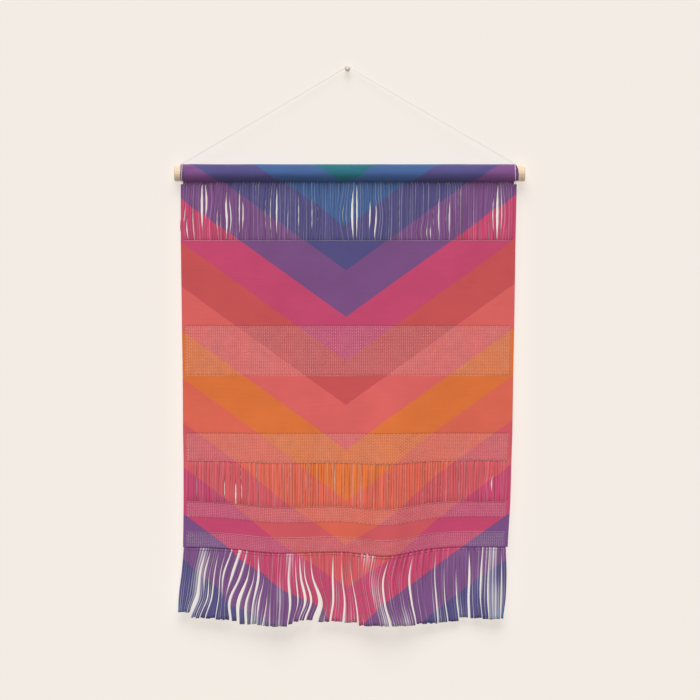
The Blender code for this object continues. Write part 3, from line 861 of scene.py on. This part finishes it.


# Mesh bands
# Four bands of open leno weave between the plain ones: a staggered lattice of crossed yarns, with
# a small hole in each cell and pale undyed flecks where a yarn turns over and stands up. The flecks
# get a painted highlight, and the rest of the lattice round the holes gets painted shade.
MESH_CELL_WIDTH = 0.0052
MESH_CELL_HEIGHT = 0.00366
MESH_HOLE = 0.18
FLECK_RISE = 0.0003
FLECK_PALER = 0.11
FLECK_HIGHLIGHT = 0.36
LATTICE_SHADE = 0.71


def cell_line(number, count, start, end):
    """Where a numbered line of cells is. The first and the last one are the rounding of the edge."""
    if number < 1.0:
        return start + EDGE_ROUNDING * number
    if number > count + 1.0:
        return end - EDGE_ROUNDING * (count + 2.0 - number)
    inner = end - start - 2.0 * EDGE_ROUNDING
    return start + EDGE_ROUNDING + inner * (number - 1.0) / count


def off_crossing(place):
    """How far a place is from the nearest crossing of the numbered lines."""
    return math.dist(place.xy, (round(place.x), round(place.y)))


mesh_shape = bmesh.new()
mesh_shape.verts.layers.float.new("fleck")
for band in bands_of("mesh"):
    half_cells = 2 * round((band.right - band.left - 2.0 * SELVEDGE) / MESH_CELL_WIDTH)
    rows = 2 * round((band.top - band.bottom) / MESH_CELL_HEIGHT)
    cells = bmesh.new()
    numbered_grid(cells, half_cells + 2, rows + 2)
    holes = []
    for point in cells.verts:
        column, row = round(point.co.x), round(point.co.y)
        if (column + row) % 2 and 1 < column < half_cells + 1 and 1 < row < rows + 1:
            holes.append(point)
    bmesh.ops.bevel(
        cells, geom=holes, offset=MESH_HOLE, offset_type="OFFSET", segments=1, profile=0.5,
        affect="VERTICES", material=-1,
    )
    opened = [face for face in cells.faces if off_crossing(face.calc_center_median()) < MESH_HOLE / 2.0]
    bmesh.ops.delete(cells, geom=opened, context="FACES")
    layer = cells.verts.layers.float.new("fleck")
    for point in cells.verts:
        column, row = round(point.co.x), round(point.co.y)
        is_crossing = off_crossing(point.co) < MESH_HOLE / 2.0 and (column + row) % 2 == 0
        point[layer] = 1.0 if is_crossing and 1 < row < rows + 1 else 0.0
        height = cell_line(point.co.y, rows, band.bottom, band.top)
        left, right = cloth_sides(height)
        x = cell_line(point.co.x, half_cells, left + SELVEDGE, right - SELVEDGE)
        point.co = Vector((x, 0.0, height))
    band_mesh = bpy.data.meshes.new("mesh band")
    cells.to_mesh(band_mesh)
    cells.free()
    mesh_shape.from_mesh(band_mesh)
    bpy.data.meshes.remove(band_mesh)
fleck = mesh_shape.verts.layers.float["fleck"]
keep_flat_place(mesh_shape)
for point in mesh_shape.verts:
    point.co = place_cloth(point.co.x, point.co.z)
    point.co.y -= FLECK_RISE * point[fleck]


def leno_material(name, fade):
    """Crossed yarns with the print. They are paler where the fleck attribute says one stands up, with a
    painted highlight there and painted shade elsewhere.
    """
    material, tree, shader, flat_place, colour = printed_yarn_shader(name)
    crossing = tree.nodes.new("ShaderNodeAttribute")
    crossing.attribute_name = "fleck"
    pale = calculate(tree, "MULTIPLY_ADD", crossing.outputs["Fac"], FLECK_PALER, fade)
    colour = mix_colours(tree, pale, colour, (*UNDYED, 1.0))
    # Painted highlight on the raised crossings and painted shade on the rest of the lattice round the
    # holes.
    shade = calculate(tree, "MULTIPLY_ADD", crossing.outputs["Fac"], FLECK_HIGHLIGHT, LATTICE_SHADE)
    colour = shade_colour(tree, colour, shade)
    colour = vary_tone(tree, colour, flat_place, scale=90.0, darkest=0.94, lightest=1.06)
    tree.links.new(colour, shader.inputs["Base Color"])
    add_relief(tree, shader, add_noise(tree, flat_place, scale=1500.0), depth=0.0002)
    return material


leno = leno_material("printed leno weave", fade=0.02)
leno_back = leno_material("leno weave back", fade=0.58)
mesh_bands = finish_piece("mesh_bands", mesh_shape, [leno, leno_back])
give_thickness(mesh_bands, CLOTH_THICKNESS)


# Open warp bands
# Two bands where the weft is left out: about a hundred and twenty warp strands hang side by side,
# and here and there two stand apart and leave a slit that shows the wall.
STRANDS = 124
STRAND_WIDTH = 1.14
STRAND_DEPTH = 0.0022
STRAND_TUCK = 0.0018
STRAND_SIDES = 8
STRAND_ROWS = 16
STRAND_SET_BACK = 0.0003
STRAND_OVERLAP = 0.0006
STRAND_SHIFT = 0.0002
STRAND_THICKNESS = (0.88, 1.10)
STRAND_SWAY = 0.00022
STRAND_BENDS = 5.0
STRAND_UNEVEN = 0.07
STRAND_LUMPS = 2.1
ENDS_REACH = 0.006
ENDS_SET_BACK = 0.0013
TOPS_FORWARD = 0.0012
TOPS_RISE = 0.0008
SLIT_TAPER = 1.12
SLIT_ROUNDING = 1.2
BUNCHING = 2.6

Slit = namedtuple("Slit", "place top bottom width")
SLITS = [
    Slit(-0.2028, -0.1700, -0.2170, 0.0010),
    Slit(-0.1996, -0.1850, -0.2170, 0.0013),
    Slit(-0.1925, -0.1440, -0.2140, 0.0007),
    Slit(-0.1821, -0.1400, -0.2050, 0.0021),
    Slit(-0.1771, -0.1460, -0.1900, 0.0017),
    Slit(-0.1622, -0.1650, -0.2150, 0.0012),
    Slit(-0.1576, -0.1750, -0.2080, 0.0009),
    Slit(-0.1514, -0.1570, -0.2130, 0.0029),
    Slit(-0.1475, -0.1600, -0.2110, 0.0015),
    Slit(-0.1364, -0.1520, -0.2120, 0.0018),
    Slit(-0.1310, -0.1620, -0.2050, 0.0016),
    Slit(-0.1011, -0.1560, -0.2120, 0.0007),
    Slit(-0.0965, -0.1560, -0.2120, 0.0007),
    Slit(-0.0886, -0.1500, -0.2150, 0.0018),
    Slit(-0.0751, -0.1560, -0.2120, 0.0007),
    Slit(-0.0620, -0.1560, -0.2120, 0.0007),
    Slit(-0.0440, -0.1560, -0.2120, 0.0006),
    Slit(-0.0388, -0.1560, -0.2120, 0.0007),
    Slit(-0.0038, -0.1620, -0.2090, 0.0009),
    Slit(0.0011, -0.1620, -0.2090, 0.0009),
    Slit(0.0066, -0.1470, -0.2140, 0.0020),
    Slit(0.0115, -0.1440, -0.2160, 0.0021),
    Slit(0.0291, -0.1640, -0.2060, 0.0019),
    Slit(0.0338, -0.1610, -0.2160, 0.0020),
    Slit(0.0378, -0.1650, -0.2120, 0.0007),
    Slit(0.0931, -0.1900, -0.2170, 0.0008),
    Slit(0.0989, -0.1920, -0.2170, 0.0009),
    Slit(0.1044, -0.1920, -0.2170, 0.0008),
    Slit(0.1086, -0.1600, -0.2130, 0.0009),
    Slit(0.1134, -0.1560, -0.2130, 0.0015),
    Slit(0.1231, -0.1600, -0.2130, 0.0009),
    Slit(0.1270, -0.1600, -0.2130, 0.0009),
    Slit(0.1829, -0.1560, -0.2120, 0.0007),
    Slit(0.1869, -0.1420, -0.2140, 0.0022),
    Slit(0.1918, -0.1560, -0.2120, 0.0007),
    Slit(-0.1534, -0.5080, -0.5400, 0.0007),
    Slit(-0.1385, -0.5120, -0.5450, 0.0017),
    Slit(-0.1338, -0.5140, -0.5420, 0.0008),
    Slit(0.1800, -0.5080, -0.5320, 0.0014),
]


def straight_yarn(sides, rows):
    """A closed yarn one unit thick, whose points stand on whole rows from 0 up, to be copied and bent."""
    yarn = bmesh.new()
    bmesh.ops.create_cone(yarn, cap_ends=True, segments=sides, radius1=1.0, radius2=1.0, depth=rows)
    lengthwise = [edge for edge in yarn.edges if abs(edge.verts[0].co.z - edge.verts[1].co.z) > 0.5]
    bmesh.ops.subdivide_edges(yarn, edges=lengthwise, cuts=rows - 1, use_grid_fill=True)
    bmesh.ops.translate(yarn, verts=yarn.verts, vec=(0.0, 0.0, rows / 2.0))
    mesh = bpy.data.meshes.new("straight yarn")
    yarn.to_mesh(mesh)
    yarn.free()
    return mesh


def lay_yarn(yarns, pattern, flat_at, hung_at, hung_places):
    """Adds a copy of the pattern at its flat place, and notes where each of its points will hang."""
    count = len(yarns.verts)
    yarns.from_mesh(pattern)
    yarns.verts.ensure_lookup_table()
    for point in yarns.verts[count:]:
        row = round(point.co.z)
        across, out = point.co.x, point.co.y
        hung_places.append(hung_at(row, across, out))
        point.co = flat_at(row, across)


def hang_yarns(yarns, hung_places):
    """Moves the laid yarns from the flat cloth to where they hang."""
    keep_flat_place(yarns)
    for point, place in zip(yarns.verts, hung_places):
        point.co = place


def strand_place(number, height):
    """The X on the flat cloth at a count of strands from the left, and their pitch at that height."""
    left, right = cloth_sides(height)
    pitch = (right - left - 2.0 * SELVEDGE) / STRANDS
    return left + SELVEDGE + number * pitch, pitch


def strand_moves(band):
    """For each slit of a band: the number of the gap that opens, its shift there, and the slit."""
    moves = []
    for slit in SLITS:
        middle = (slit.top + slit.bottom) / 2.0
        if band.bottom < middle < band.top:
            first, pitch = strand_place(0, middle)
            gap = round((slit.place - first) / pitch)
            moves.append((gap, slit.place - strand_place(gap, middle)[0], slit))
    return moves


def strand_shift(strand, height, moves):
    """How far a strand is pushed aside at a height by the slits that open near it."""
    total = 0.0
    for gap, shift, slit in moves:
        half = SLIT_TAPER * (slit.top - slit.bottom) / 2.0
        along = abs(height - (slit.top + slit.bottom) / 2.0) / half
        if along < 1.0:
            lens = math.cos(along * math.pi / 2.0) ** SLIT_ROUNDING
            away = strand + 0.5 - gap
            width = slit.width + STRAND_OVERLAP
            push = math.copysign(width / 2.0, away) * bell(abs(away) - 0.5, BUNCHING)
            total += lens * (push + shift * bell(away, BUNCHING))
    return total


strand_shape = bmesh.new()
strand_places = []
rng = random.Random(41)
pattern = straight_yarn(STRAND_SIDES, STRAND_ROWS)
for band in bands_of("open"):
    moves = strand_moves(band)
    start, end = band.bottom - STRAND_TUCK, band.top + STRAND_TUCK
    top_set_back = ENDS_SET_BACK
    if band.top == PANEL_TOP:
        end = SEAM_HEIGHT + TOPS_RISE
        top_set_back = -TOPS_FORWARD
    first_face = len(strand_shape.faces)
    for strand in range(STRANDS):
        set_back = STRAND_SET_BACK * (strand % 2) + rng.uniform(-STRAND_SHIFT, STRAND_SHIFT)
        thick = rng.uniform(*STRAND_THICKNESS)
        phase = rng.uniform(0.0, math.tau)

        def height_of(row):
            """The height of a strand's row on the flat cloth."""
            return start + (end - start) * row / STRAND_ROWS

        def flat_at(row, across):
            """Where a point of the strand lies on the flat cloth."""
            height = height_of(row)
            return Vector((strand_place(strand + 0.5 + 0.5 * across, height)[0], 0.0, height))

        def hung_at(row, across, out):
            """Where a point of the strand hangs, beside the slits and between the bands' edges."""
            height = height_of(row)
            middle, pitch = strand_place(strand + 0.5, height)
            middle += strand_shift(strand, height, moves)
            middle += STRAND_SWAY * math.sin(phase + STRAND_BENDS * row / STRAND_ROWS)
            uneven = 1.0 + STRAND_UNEVEN * math.sin(phase + STRAND_LUMPS * row)
            width = 0.5 * STRAND_WIDTH * pitch * thick * uneven
            place = hang(middle, height)
            near_foot = 1.0 - smooth_step(start + STRAND_TUCK, start + ENDS_REACH, height)
            near_top = 1.0 - smooth_step(end - STRAND_TUCK, end - ENDS_REACH, height)
            place.y += near_foot * ENDS_SET_BACK + near_top * top_set_back
            place.y += set_back + out * STRAND_DEPTH / 2.0
            place.x += across * width
            return place

        lay_yarn(strand_shape, pattern, flat_at, hung_at, strand_places)
    strand_shape.faces.ensure_lookup_table()
    for face in strand_shape.faces[first_face:]:
        face.material_index = 0 if band.top == PANEL_TOP else 1
hang_yarns(strand_shape, strand_places)
bmesh.ops.recalc_face_normals(strand_shape, faces=strand_shape.faces)


def ease_between(tree, value, start, end, first=0.0, last=1.0):
    """A value that eases from the first to the last number while its input goes from start to end."""
    node = tree.nodes.new("ShaderNodeMapRange")
    node.interpolation_type = "SMOOTHSTEP"
    for socket, number in zip(("From Min", "From Max", "To Min", "To Max"), (start, end, first, last)):
        node.inputs[socket].default_value = number
    tree.links.new(value, node.inputs["Value"])
    return node.outputs["Result"]


PALE_LEANS = 0.55
PALE_BACK = 0.60


def yarn_material(name, pale_lit_side, side_shade, turned=0.0, twist_pitch=0.004):
    """Printed yarn: its left side is paler, undyed yarn with a painted highlight, its right side has
    painted shade, and the print fades on its back.

    In long patches the yarns have turned, which brings more of their pale side to the front.
    """
    material, tree, shader, flat_place, colour = printed_yarn_shader(name)
    surface = tree.nodes.new("ShaderNodeNewGeometry")
    split = tree.nodes.new("ShaderNodeSeparateXYZ")
    tree.links.new(surface.outputs["Normal"], split.inputs["Vector"])
    to_right, to_back = split.outputs["X"], split.outputs["Y"]
    lengthwise = stretch_place(tree, flat_place, across=1.0, along=0.03)
    by_yarn = add_noise(tree, lengthwise, scale=160.0, detail=0.0)
    twisted = ease_between(tree, by_yarn, start=0.42, end=0.62, first=0.25)
    long_patches = stretch_place(tree, flat_place, across=1.0, along=0.25)
    by_patch = add_noise(tree, long_patches, scale=30.0, detail=1.0)
    patch = ease_between(tree, by_patch, start=0.44, end=0.68, last=turned)
    # The pale side leans to the left as if lit from there: a painted highlight over the yarn's undyed
    # side.
    leaning = calculate(tree, "MULTIPLY_ADD", to_right, -PALE_LEANS, to_back)
    leaning = calculate(tree, "ADD", leaning, patch)
    turned_away = ease_between(tree, leaning, start=-0.80, end=-0.25, last=pale_lit_side)
    twisted = calculate(tree, "MAXIMUM", twisted, patch)
    pale_front = calculate(tree, "MULTIPLY", turned_away, twisted)
    on_back = ease_between(tree, to_back, start=0.0, end=0.5, last=PALE_BACK)
    pale = calculate(tree, "MAXIMUM", pale_front, on_back)
    # Painted shade on the yarn's right side.
    shade = ease_between(tree, to_right, start=0.3, end=0.8, first=1.0, last=1.0 - side_shade)
    colour = shade_colour(tree, mix_colours(tree, pale, colour, (*UNDYED, 1.0)), shade)
    colour = vary_tone(tree, colour, lengthwise, scale=420.0, darkest=0.80, lightest=1.16)
    tree.links.new(colour, shader.inputs["Base Color"])
    ply = tree.nodes.new("ShaderNodeTexWave")
    ply.bands_direction = "DIAGONAL"
    ply.inputs["Scale"].default_value = 1.0 / twist_pitch
    ply.inputs["Distortion"].default_value = 1.0
    tree.links.new(flat_place, ply.inputs["Vector"])
    add_relief(tree, shader, ply.outputs["Fac"], depth=0.00012)
    return material


loose_yarn = yarn_material("loose warp yarn", pale_lit_side=0.60, side_shade=0.40)
taut_yarn = yarn_material("taut warp yarn", pale_lit_side=0.34, side_shade=0.40)
warp_strands = finish_piece("open_warp_strands", strand_shape, [loose_yarn, taut_yarn])


# Cut fringe
# The warp ends below the hem hang in flat locks of fine cut threads, each lock with its own swing.
# Every row is the parting on a lock's left side, the gap beside it, and its strands and cut end.
# The last row is the fringe's right side.
FRINGE_SWINGS_BACK = 0.25
FRINGE_TUCK = 0.0015
YARNS_SUNK = 0.0010
YARNS_SURFACE = 0.06
YARNS_SPREAD_OUT = 0.25
KNEE = 0.37
SHIN = 0.72
WIDEST_STRAND = 0.0076
YARN_PITCH = 0.0033
YARN_HALF_DEPTH = 0.00055
YARN_TAPER = 0.04
YARN_ROWS = 18
YARN_SIDES = 8
CUT_UNEVEN = (-0.0003, 0.0010)
YARN_SHIFT = 0.0004
YARN_SWAY = (0.00005, 0.00040)
YARN_BENDS = 5.0
YARN_THICKNESS = (1.04, 1.20)
Lock = namedtuple("Lock", "strands root knee shin tip knee_gap shin_gap tip_gap end")
LOCKS = [
    Lock(4, -0.2046, -0.2070, -0.2106, -0.2115, 0.0, 0.0, 0.0, -0.6806),
    Lock(1, -0.1769, -0.1841, -0.1879, -0.1966, 0.0020, 0.0026, 0.0008, -0.6869),
    Lock(1, -0.1706, -0.1785, -0.1806, -0.1904, 0.0018, 0.0, 0.0, -0.6881),
    Lock(1, -0.1656, -0.1725, -0.1750, -0.1850, 0.0006, 0.0020, 0.0014, -0.6875),
    Lock(2, -0.1606, -0.1662, -0.1700, -0.1778, 0.0014, 0.0016, 0.0010, -0.6881),
    Lock(1, -0.1519, -0.1591, -0.1611, -0.1649, 0.0010, 0.0010, 0.0010, -0.6894),
    Lock(1, -0.1446, -0.1549, -0.1571, -0.1592, 0.0020, 0.0, 0.0, -0.6894),
    Lock(1, -0.1344, -0.1445, -0.1526, -0.1534, 0.0024, 0.0, 0.0, -0.6894),
    Lock(1, -0.1250, -0.1334, -0.1470, -0.1460, 0.0020, 0.0032, 0.0034, -0.6913),
    Lock(1, -0.1206, -0.1246, -0.1362, -0.1365, 0.0014, 0.0044, 0.0044, -0.6950),
    Lock(1, -0.1161, -0.1171, -0.1264, -0.1265, 0.0010, 0.0032, 0.0030, -0.6950),
    Lock(1, -0.1119, -0.1114, -0.1181, -0.1202, 0.0030, 0.0020, 0.0020, -0.6950),
    Lock(1, -0.1062, -0.1044, -0.1110, -0.1134, 0.0005, 0.0020, 0.0010, -0.6963),
    Lock(1, -0.0994, -0.0988, -0.1015, -0.1061, 0.0, 0.0008, 0.0016, -0.6969),
    Lock(3, -0.0931, -0.0944, -0.0969, -0.0974, 0.0, 0.0005, 0.0009, -0.6975),
    Lock(1, -0.0726, -0.0738, -0.0719, -0.0751, 0.0022, 0.0030, 0.0022, -0.6950),
    Lock(1, -0.0656, -0.0641, -0.0619, -0.0684, 0.0010, 0.0018, 0.0012, -0.6913),
    Lock(1, -0.0601, -0.0584, -0.0529, -0.0609, 0.0020, 0.0032, 0.0015, -0.6900),
    Lock(1, -0.0544, -0.0529, -0.0454, -0.0541, 0.0015, 0.0028, 0.0012, -0.6900),
    Lock(4, -0.0464, -0.0439, -0.0341, -0.0394, 0.0020, 0.0054, 0.0050, -0.6925),
    Lock(2, -0.0181, -0.0186, -0.0181, -0.0216, 0.0022, 0.0025, 0.0022, -0.6919),
    Lock(2, -0.0076, -0.0069, -0.0036, -0.0051, 0.0015, 0.0025, 0.0022, -0.6931),
    Lock(7, 0.0031, 0.0051, 0.0106, 0.0135, 0.0010, 0.0020, 0.0020, -0.6969),
    Lock(5, 0.0519, 0.0441, 0.0469, 0.0535, 0.0024, 0.0025, 0.0032, -0.6969),
    Lock(4, 0.0815, 0.0771, 0.0804, 0.0854, 0.0024, 0.0022, 0.0016, -0.6944),
    Lock(2, 0.1101, 0.1089, 0.1109, 0.1131, 0.0010, 0.0015, 0.0011, -0.6931),
    Lock(2, 0.1219, 0.1206, 0.1221, 0.1256, 0.0007, 0.0012, 0.0011, -0.6919),
    Lock(2, 0.1369, 0.1356, 0.1368, 0.1396, 0.0007, 0.0012, 0.0011, -0.6875),
    Lock(2, 0.1521, 0.1524, 0.1515, 0.1526, 0.0028, 0.0028, 0.0032, -0.6881),
    Lock(1, 0.1684, 0.1668, 0.1660, 0.1681, 0.0021, 0.0021, 0.0013, -0.6894),
    Lock(2, 0.1781, 0.1759, 0.1755, 0.1771, 0.0016, 0.0019, 0.0011, -0.6894),
    Lock(1, 0.1919, 0.1924, 0.1919, 0.1909, 0.0014, 0.0015, 0.0010, -0.6881),
    Lock(0, 0.1974, 0.1984, 0.1973, 0.1944, 0.0, 0.0, 0.0, -0.6881),
]


def curve_through(values, places, at):
    """The value at a place on a smooth curve through the given values."""
    last = len(places) - 2
    piece = next((i for i in range(last + 1) if at <= places[i + 1]), last)
    before = values[max(piece - 1, 0)]
    start, end = values[piece], values[piece + 1]
    after = values[min(piece + 2, len(values) - 1)]
    share = (at - places[piece]) / (places[piece + 1] - places[piece])
    leaving, arriving = (end - before) / 2.0, (after - start) / 2.0
    square, cube = share**2, share**3
    return (
        (2 * cube - 3 * square + 1) * start
        + (cube - 2 * square + share) * leaving
        + (3 * square - 2 * cube) * end
        + (cube - square) * arriving
    )


def lock_edges(index, share):
    """Left and right edge of a lock at a share of the way down it: its two partings less the gaps."""
    levels = (0.0, KNEE, SHIN, 1.0)
    edges = []
    for lock, side in ((LOCKS[index], 1.0), (LOCKS[index + 1], -1.0)):
        line = curve_through((lock.root, lock.knee, lock.shin, lock.tip), levels, share)
        gaps = (0.0, lock.knee_gap, lock.shin_gap, lock.tip_gap)
        gap = max(0.0, curve_through(gaps, levels, share))
        edges.append(line + side * gap / 2.0)
    return edges


fringe_shape = bmesh.new()
fringe_places = []
rng = random.Random(17)
pattern = straight_yarn(YARN_SIDES, YARN_ROWS)
for index, lock in enumerate(LOCKS):
    for number in range(lock.strands):
        root_left, root_right = lock_edges(index, 0.0)
        strand_width = min((root_right - root_left) / lock.strands, WIDEST_STRAND)
        yarns = max(1, round(strand_width / YARN_PITCH))
        for yarn in range(yarns):
            cut = lock.end + rng.uniform(*CUT_UNEVEN)
            set_back = rng.uniform(-YARN_SHIFT, YARN_SHIFT)
            phase = rng.uniform(0.0, math.tau)
            sway = rng.uniform(*YARN_SWAY)
            thick = rng.uniform(*YARN_THICKNESS)
            root_middle = root_left + (root_right - root_left) * (number + 0.5) / lock.strands
            top = hang(root_middle, HEM_HEIGHT)

            def share_of(row):
                """The share of the way down the yarn at a row, which count up from its cut end."""
                return 1.0 - row / YARN_ROWS

            def middle_of(share):
                """The middle of the yarn at a share of the way down, and the width that it has there."""
                left, right = lock_edges(index, share)
                pitch = (right - left) / lock.strands
                width = min(pitch, WIDEST_STRAND)
                centre = left + pitch * (number + 0.5)
                return centre + width * ((yarn + 0.5) / yarns - 0.5), width / yarns

            def flat_at(row, across):
                """Where a point of the yarn lies on the flat cloth, straight below its root."""
                share = share_of(row)
                middle, pitch = middle_of(0.0)
                height = HEM_HEIGHT + FRINGE_TUCK + (cut - HEM_HEIGHT - FRINGE_TUCK) * share
                return Vector((middle + 0.5 * across * pitch, 0.0, height))

            def hung_at(row, across, out):
                """Where a point of the yarn hangs in its lock."""
                share = share_of(row)
                middle, pitch = middle_of(share)
                middle += sway * share * math.sin(phase + YARN_BENDS * share)
                start = top.z + FRINGE_TUCK
                height = start + (cut - start) * share
                swing = FRINGE_SWINGS_BACK * share * (ROD_DEPTH - top.y)
                width = 0.5 * pitch * thick * (1.0 - YARN_TAPER * share)
                sunk = YARNS_SUNK * (1.0 - smooth_step(0.0, YARNS_SURFACE, share))
                depth = top.y + swing + sunk + set_back * min(1.0, share / YARNS_SPREAD_OUT)
                return Vector((middle + across * width, depth + out * YARN_HALF_DEPTH, height))

            lay_yarn(fringe_shape, pattern, flat_at, hung_at, fringe_places)
hang_yarns(fringe_shape, fringe_places)
bmesh.ops.recalc_face_normals(fringe_shape, faces=fringe_shape.faces)
fringe_yarn = yarn_material(
    "printed fringe yarn", pale_lit_side=0.80, side_shade=0.35, turned=0.54, twist_pitch=0.003
)
cut_fringe = finish_piece("cut_fringe", fringe_shape, [fringe_yarn])
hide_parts("fringe")


# Stitched edges
# A row of small loops of the warp yarn closes the weave beside each open band and along the hem. It
# stands a little proud and shows as a fine light line, or, where it is sunk in the fringe, as a dark line
# whose darkness is painted shade.
EDGE_PITCH = 0.0033
EDGE_RADIUS = 0.00026
EDGE_LAY = 0.003
EDGE_WAVE = 0.0002
EDGE_POINTS = 4
LIGHT, SHADED = 0, 1
Edge = namedtuple("Edge", "height rise forward tone")
STITCHED_EDGES = [
    Edge(-0.2158, 0.00040, 0.0005, LIGHT),
    Edge(-0.3846, 0.00025, 0.0004, LIGHT),
    Edge(-0.4904, 0.00040, 0.0004, LIGHT),
    Edge(-0.5419, 0.00040, 0.0004, LIGHT),
    Edge(-0.5797, 0.00025, 0.0004, LIGHT),
    Edge(-0.5986, 0.00015, 0.0006, SHADED),
    Edge(-0.6020, 0.00020, 0.0004, SHADED),
]

edge_shape = bmesh.new()
for edge in STITCHED_EDGES:
    left, right = cloth_sides(edge.height)
    width = right - left - 2.0 * SELVEDGE
    steps = round(width / EDGE_PITCH) * EDGE_POINTS
    line = []
    for step in range(steps + 1):
        x = left + SELVEDGE + width * step / steps
        turn = math.tau * step / EDGE_POINTS
        place = hang(x, edge.height + edge.rise * math.cos(turn))
        place.y -= edge.forward + EDGE_WAVE * math.sin(turn)
        line.append(place)
    first_face = len(edge_shape.faces)
    wind_cord(edge_shape, line, EDGE_RADIUS, EDGE_LAY, plies=2, columns=5)
    flat = edge_shape.loops.layers.uv.verify()
    edge_shape.faces.ensure_lookup_table()
    for face in edge_shape.faces[first_face:]:
        face.material_index = edge.tone
        for loop in face.loops:
            loop[flat].uv = (loop.vert.co.x, edge.height)
close_ends(edge_shape)


def stitch_material(name, pale, darkest, lightest):
    """Printed yarn that is paler by a share, and lighter or darker along the row."""
    material, tree, shader, flat_place, colour = printed_yarn_shader(name)
    colour = mix_colours(tree, pale, colour, (*UNDYED, 1.0))
    colour = vary_tone(tree, colour, flat_place, scale=14.0, darkest=darkest, lightest=lightest)
    tree.links.new(colour, shader.inputs["Base Color"])
    return material


light_stitches = stitch_material("light stitched edge", pale=0.30, darkest=0.62, lightest=1.30)
# The sunk rows are the same yarn darkened to between 0.35 and 0.60 of its print: painted shade.
shaded_stitches = stitch_material("shaded sunk stitched edge", pale=0.0, darkest=0.35, lightest=0.60)
stitched_edges = finish_piece("stitched_edges", edge_shape, [light_stitches, shaded_stitches])

# The size that the cloth was cut to: the plain cloth's area and the mesh bands' total height
plain_area = CLOTH_FLAT_WIDTH * (SLEEVE_LENGTH + total_height(bands_of("plain")))
mesh_length = total_height(bands_of("mesh"))
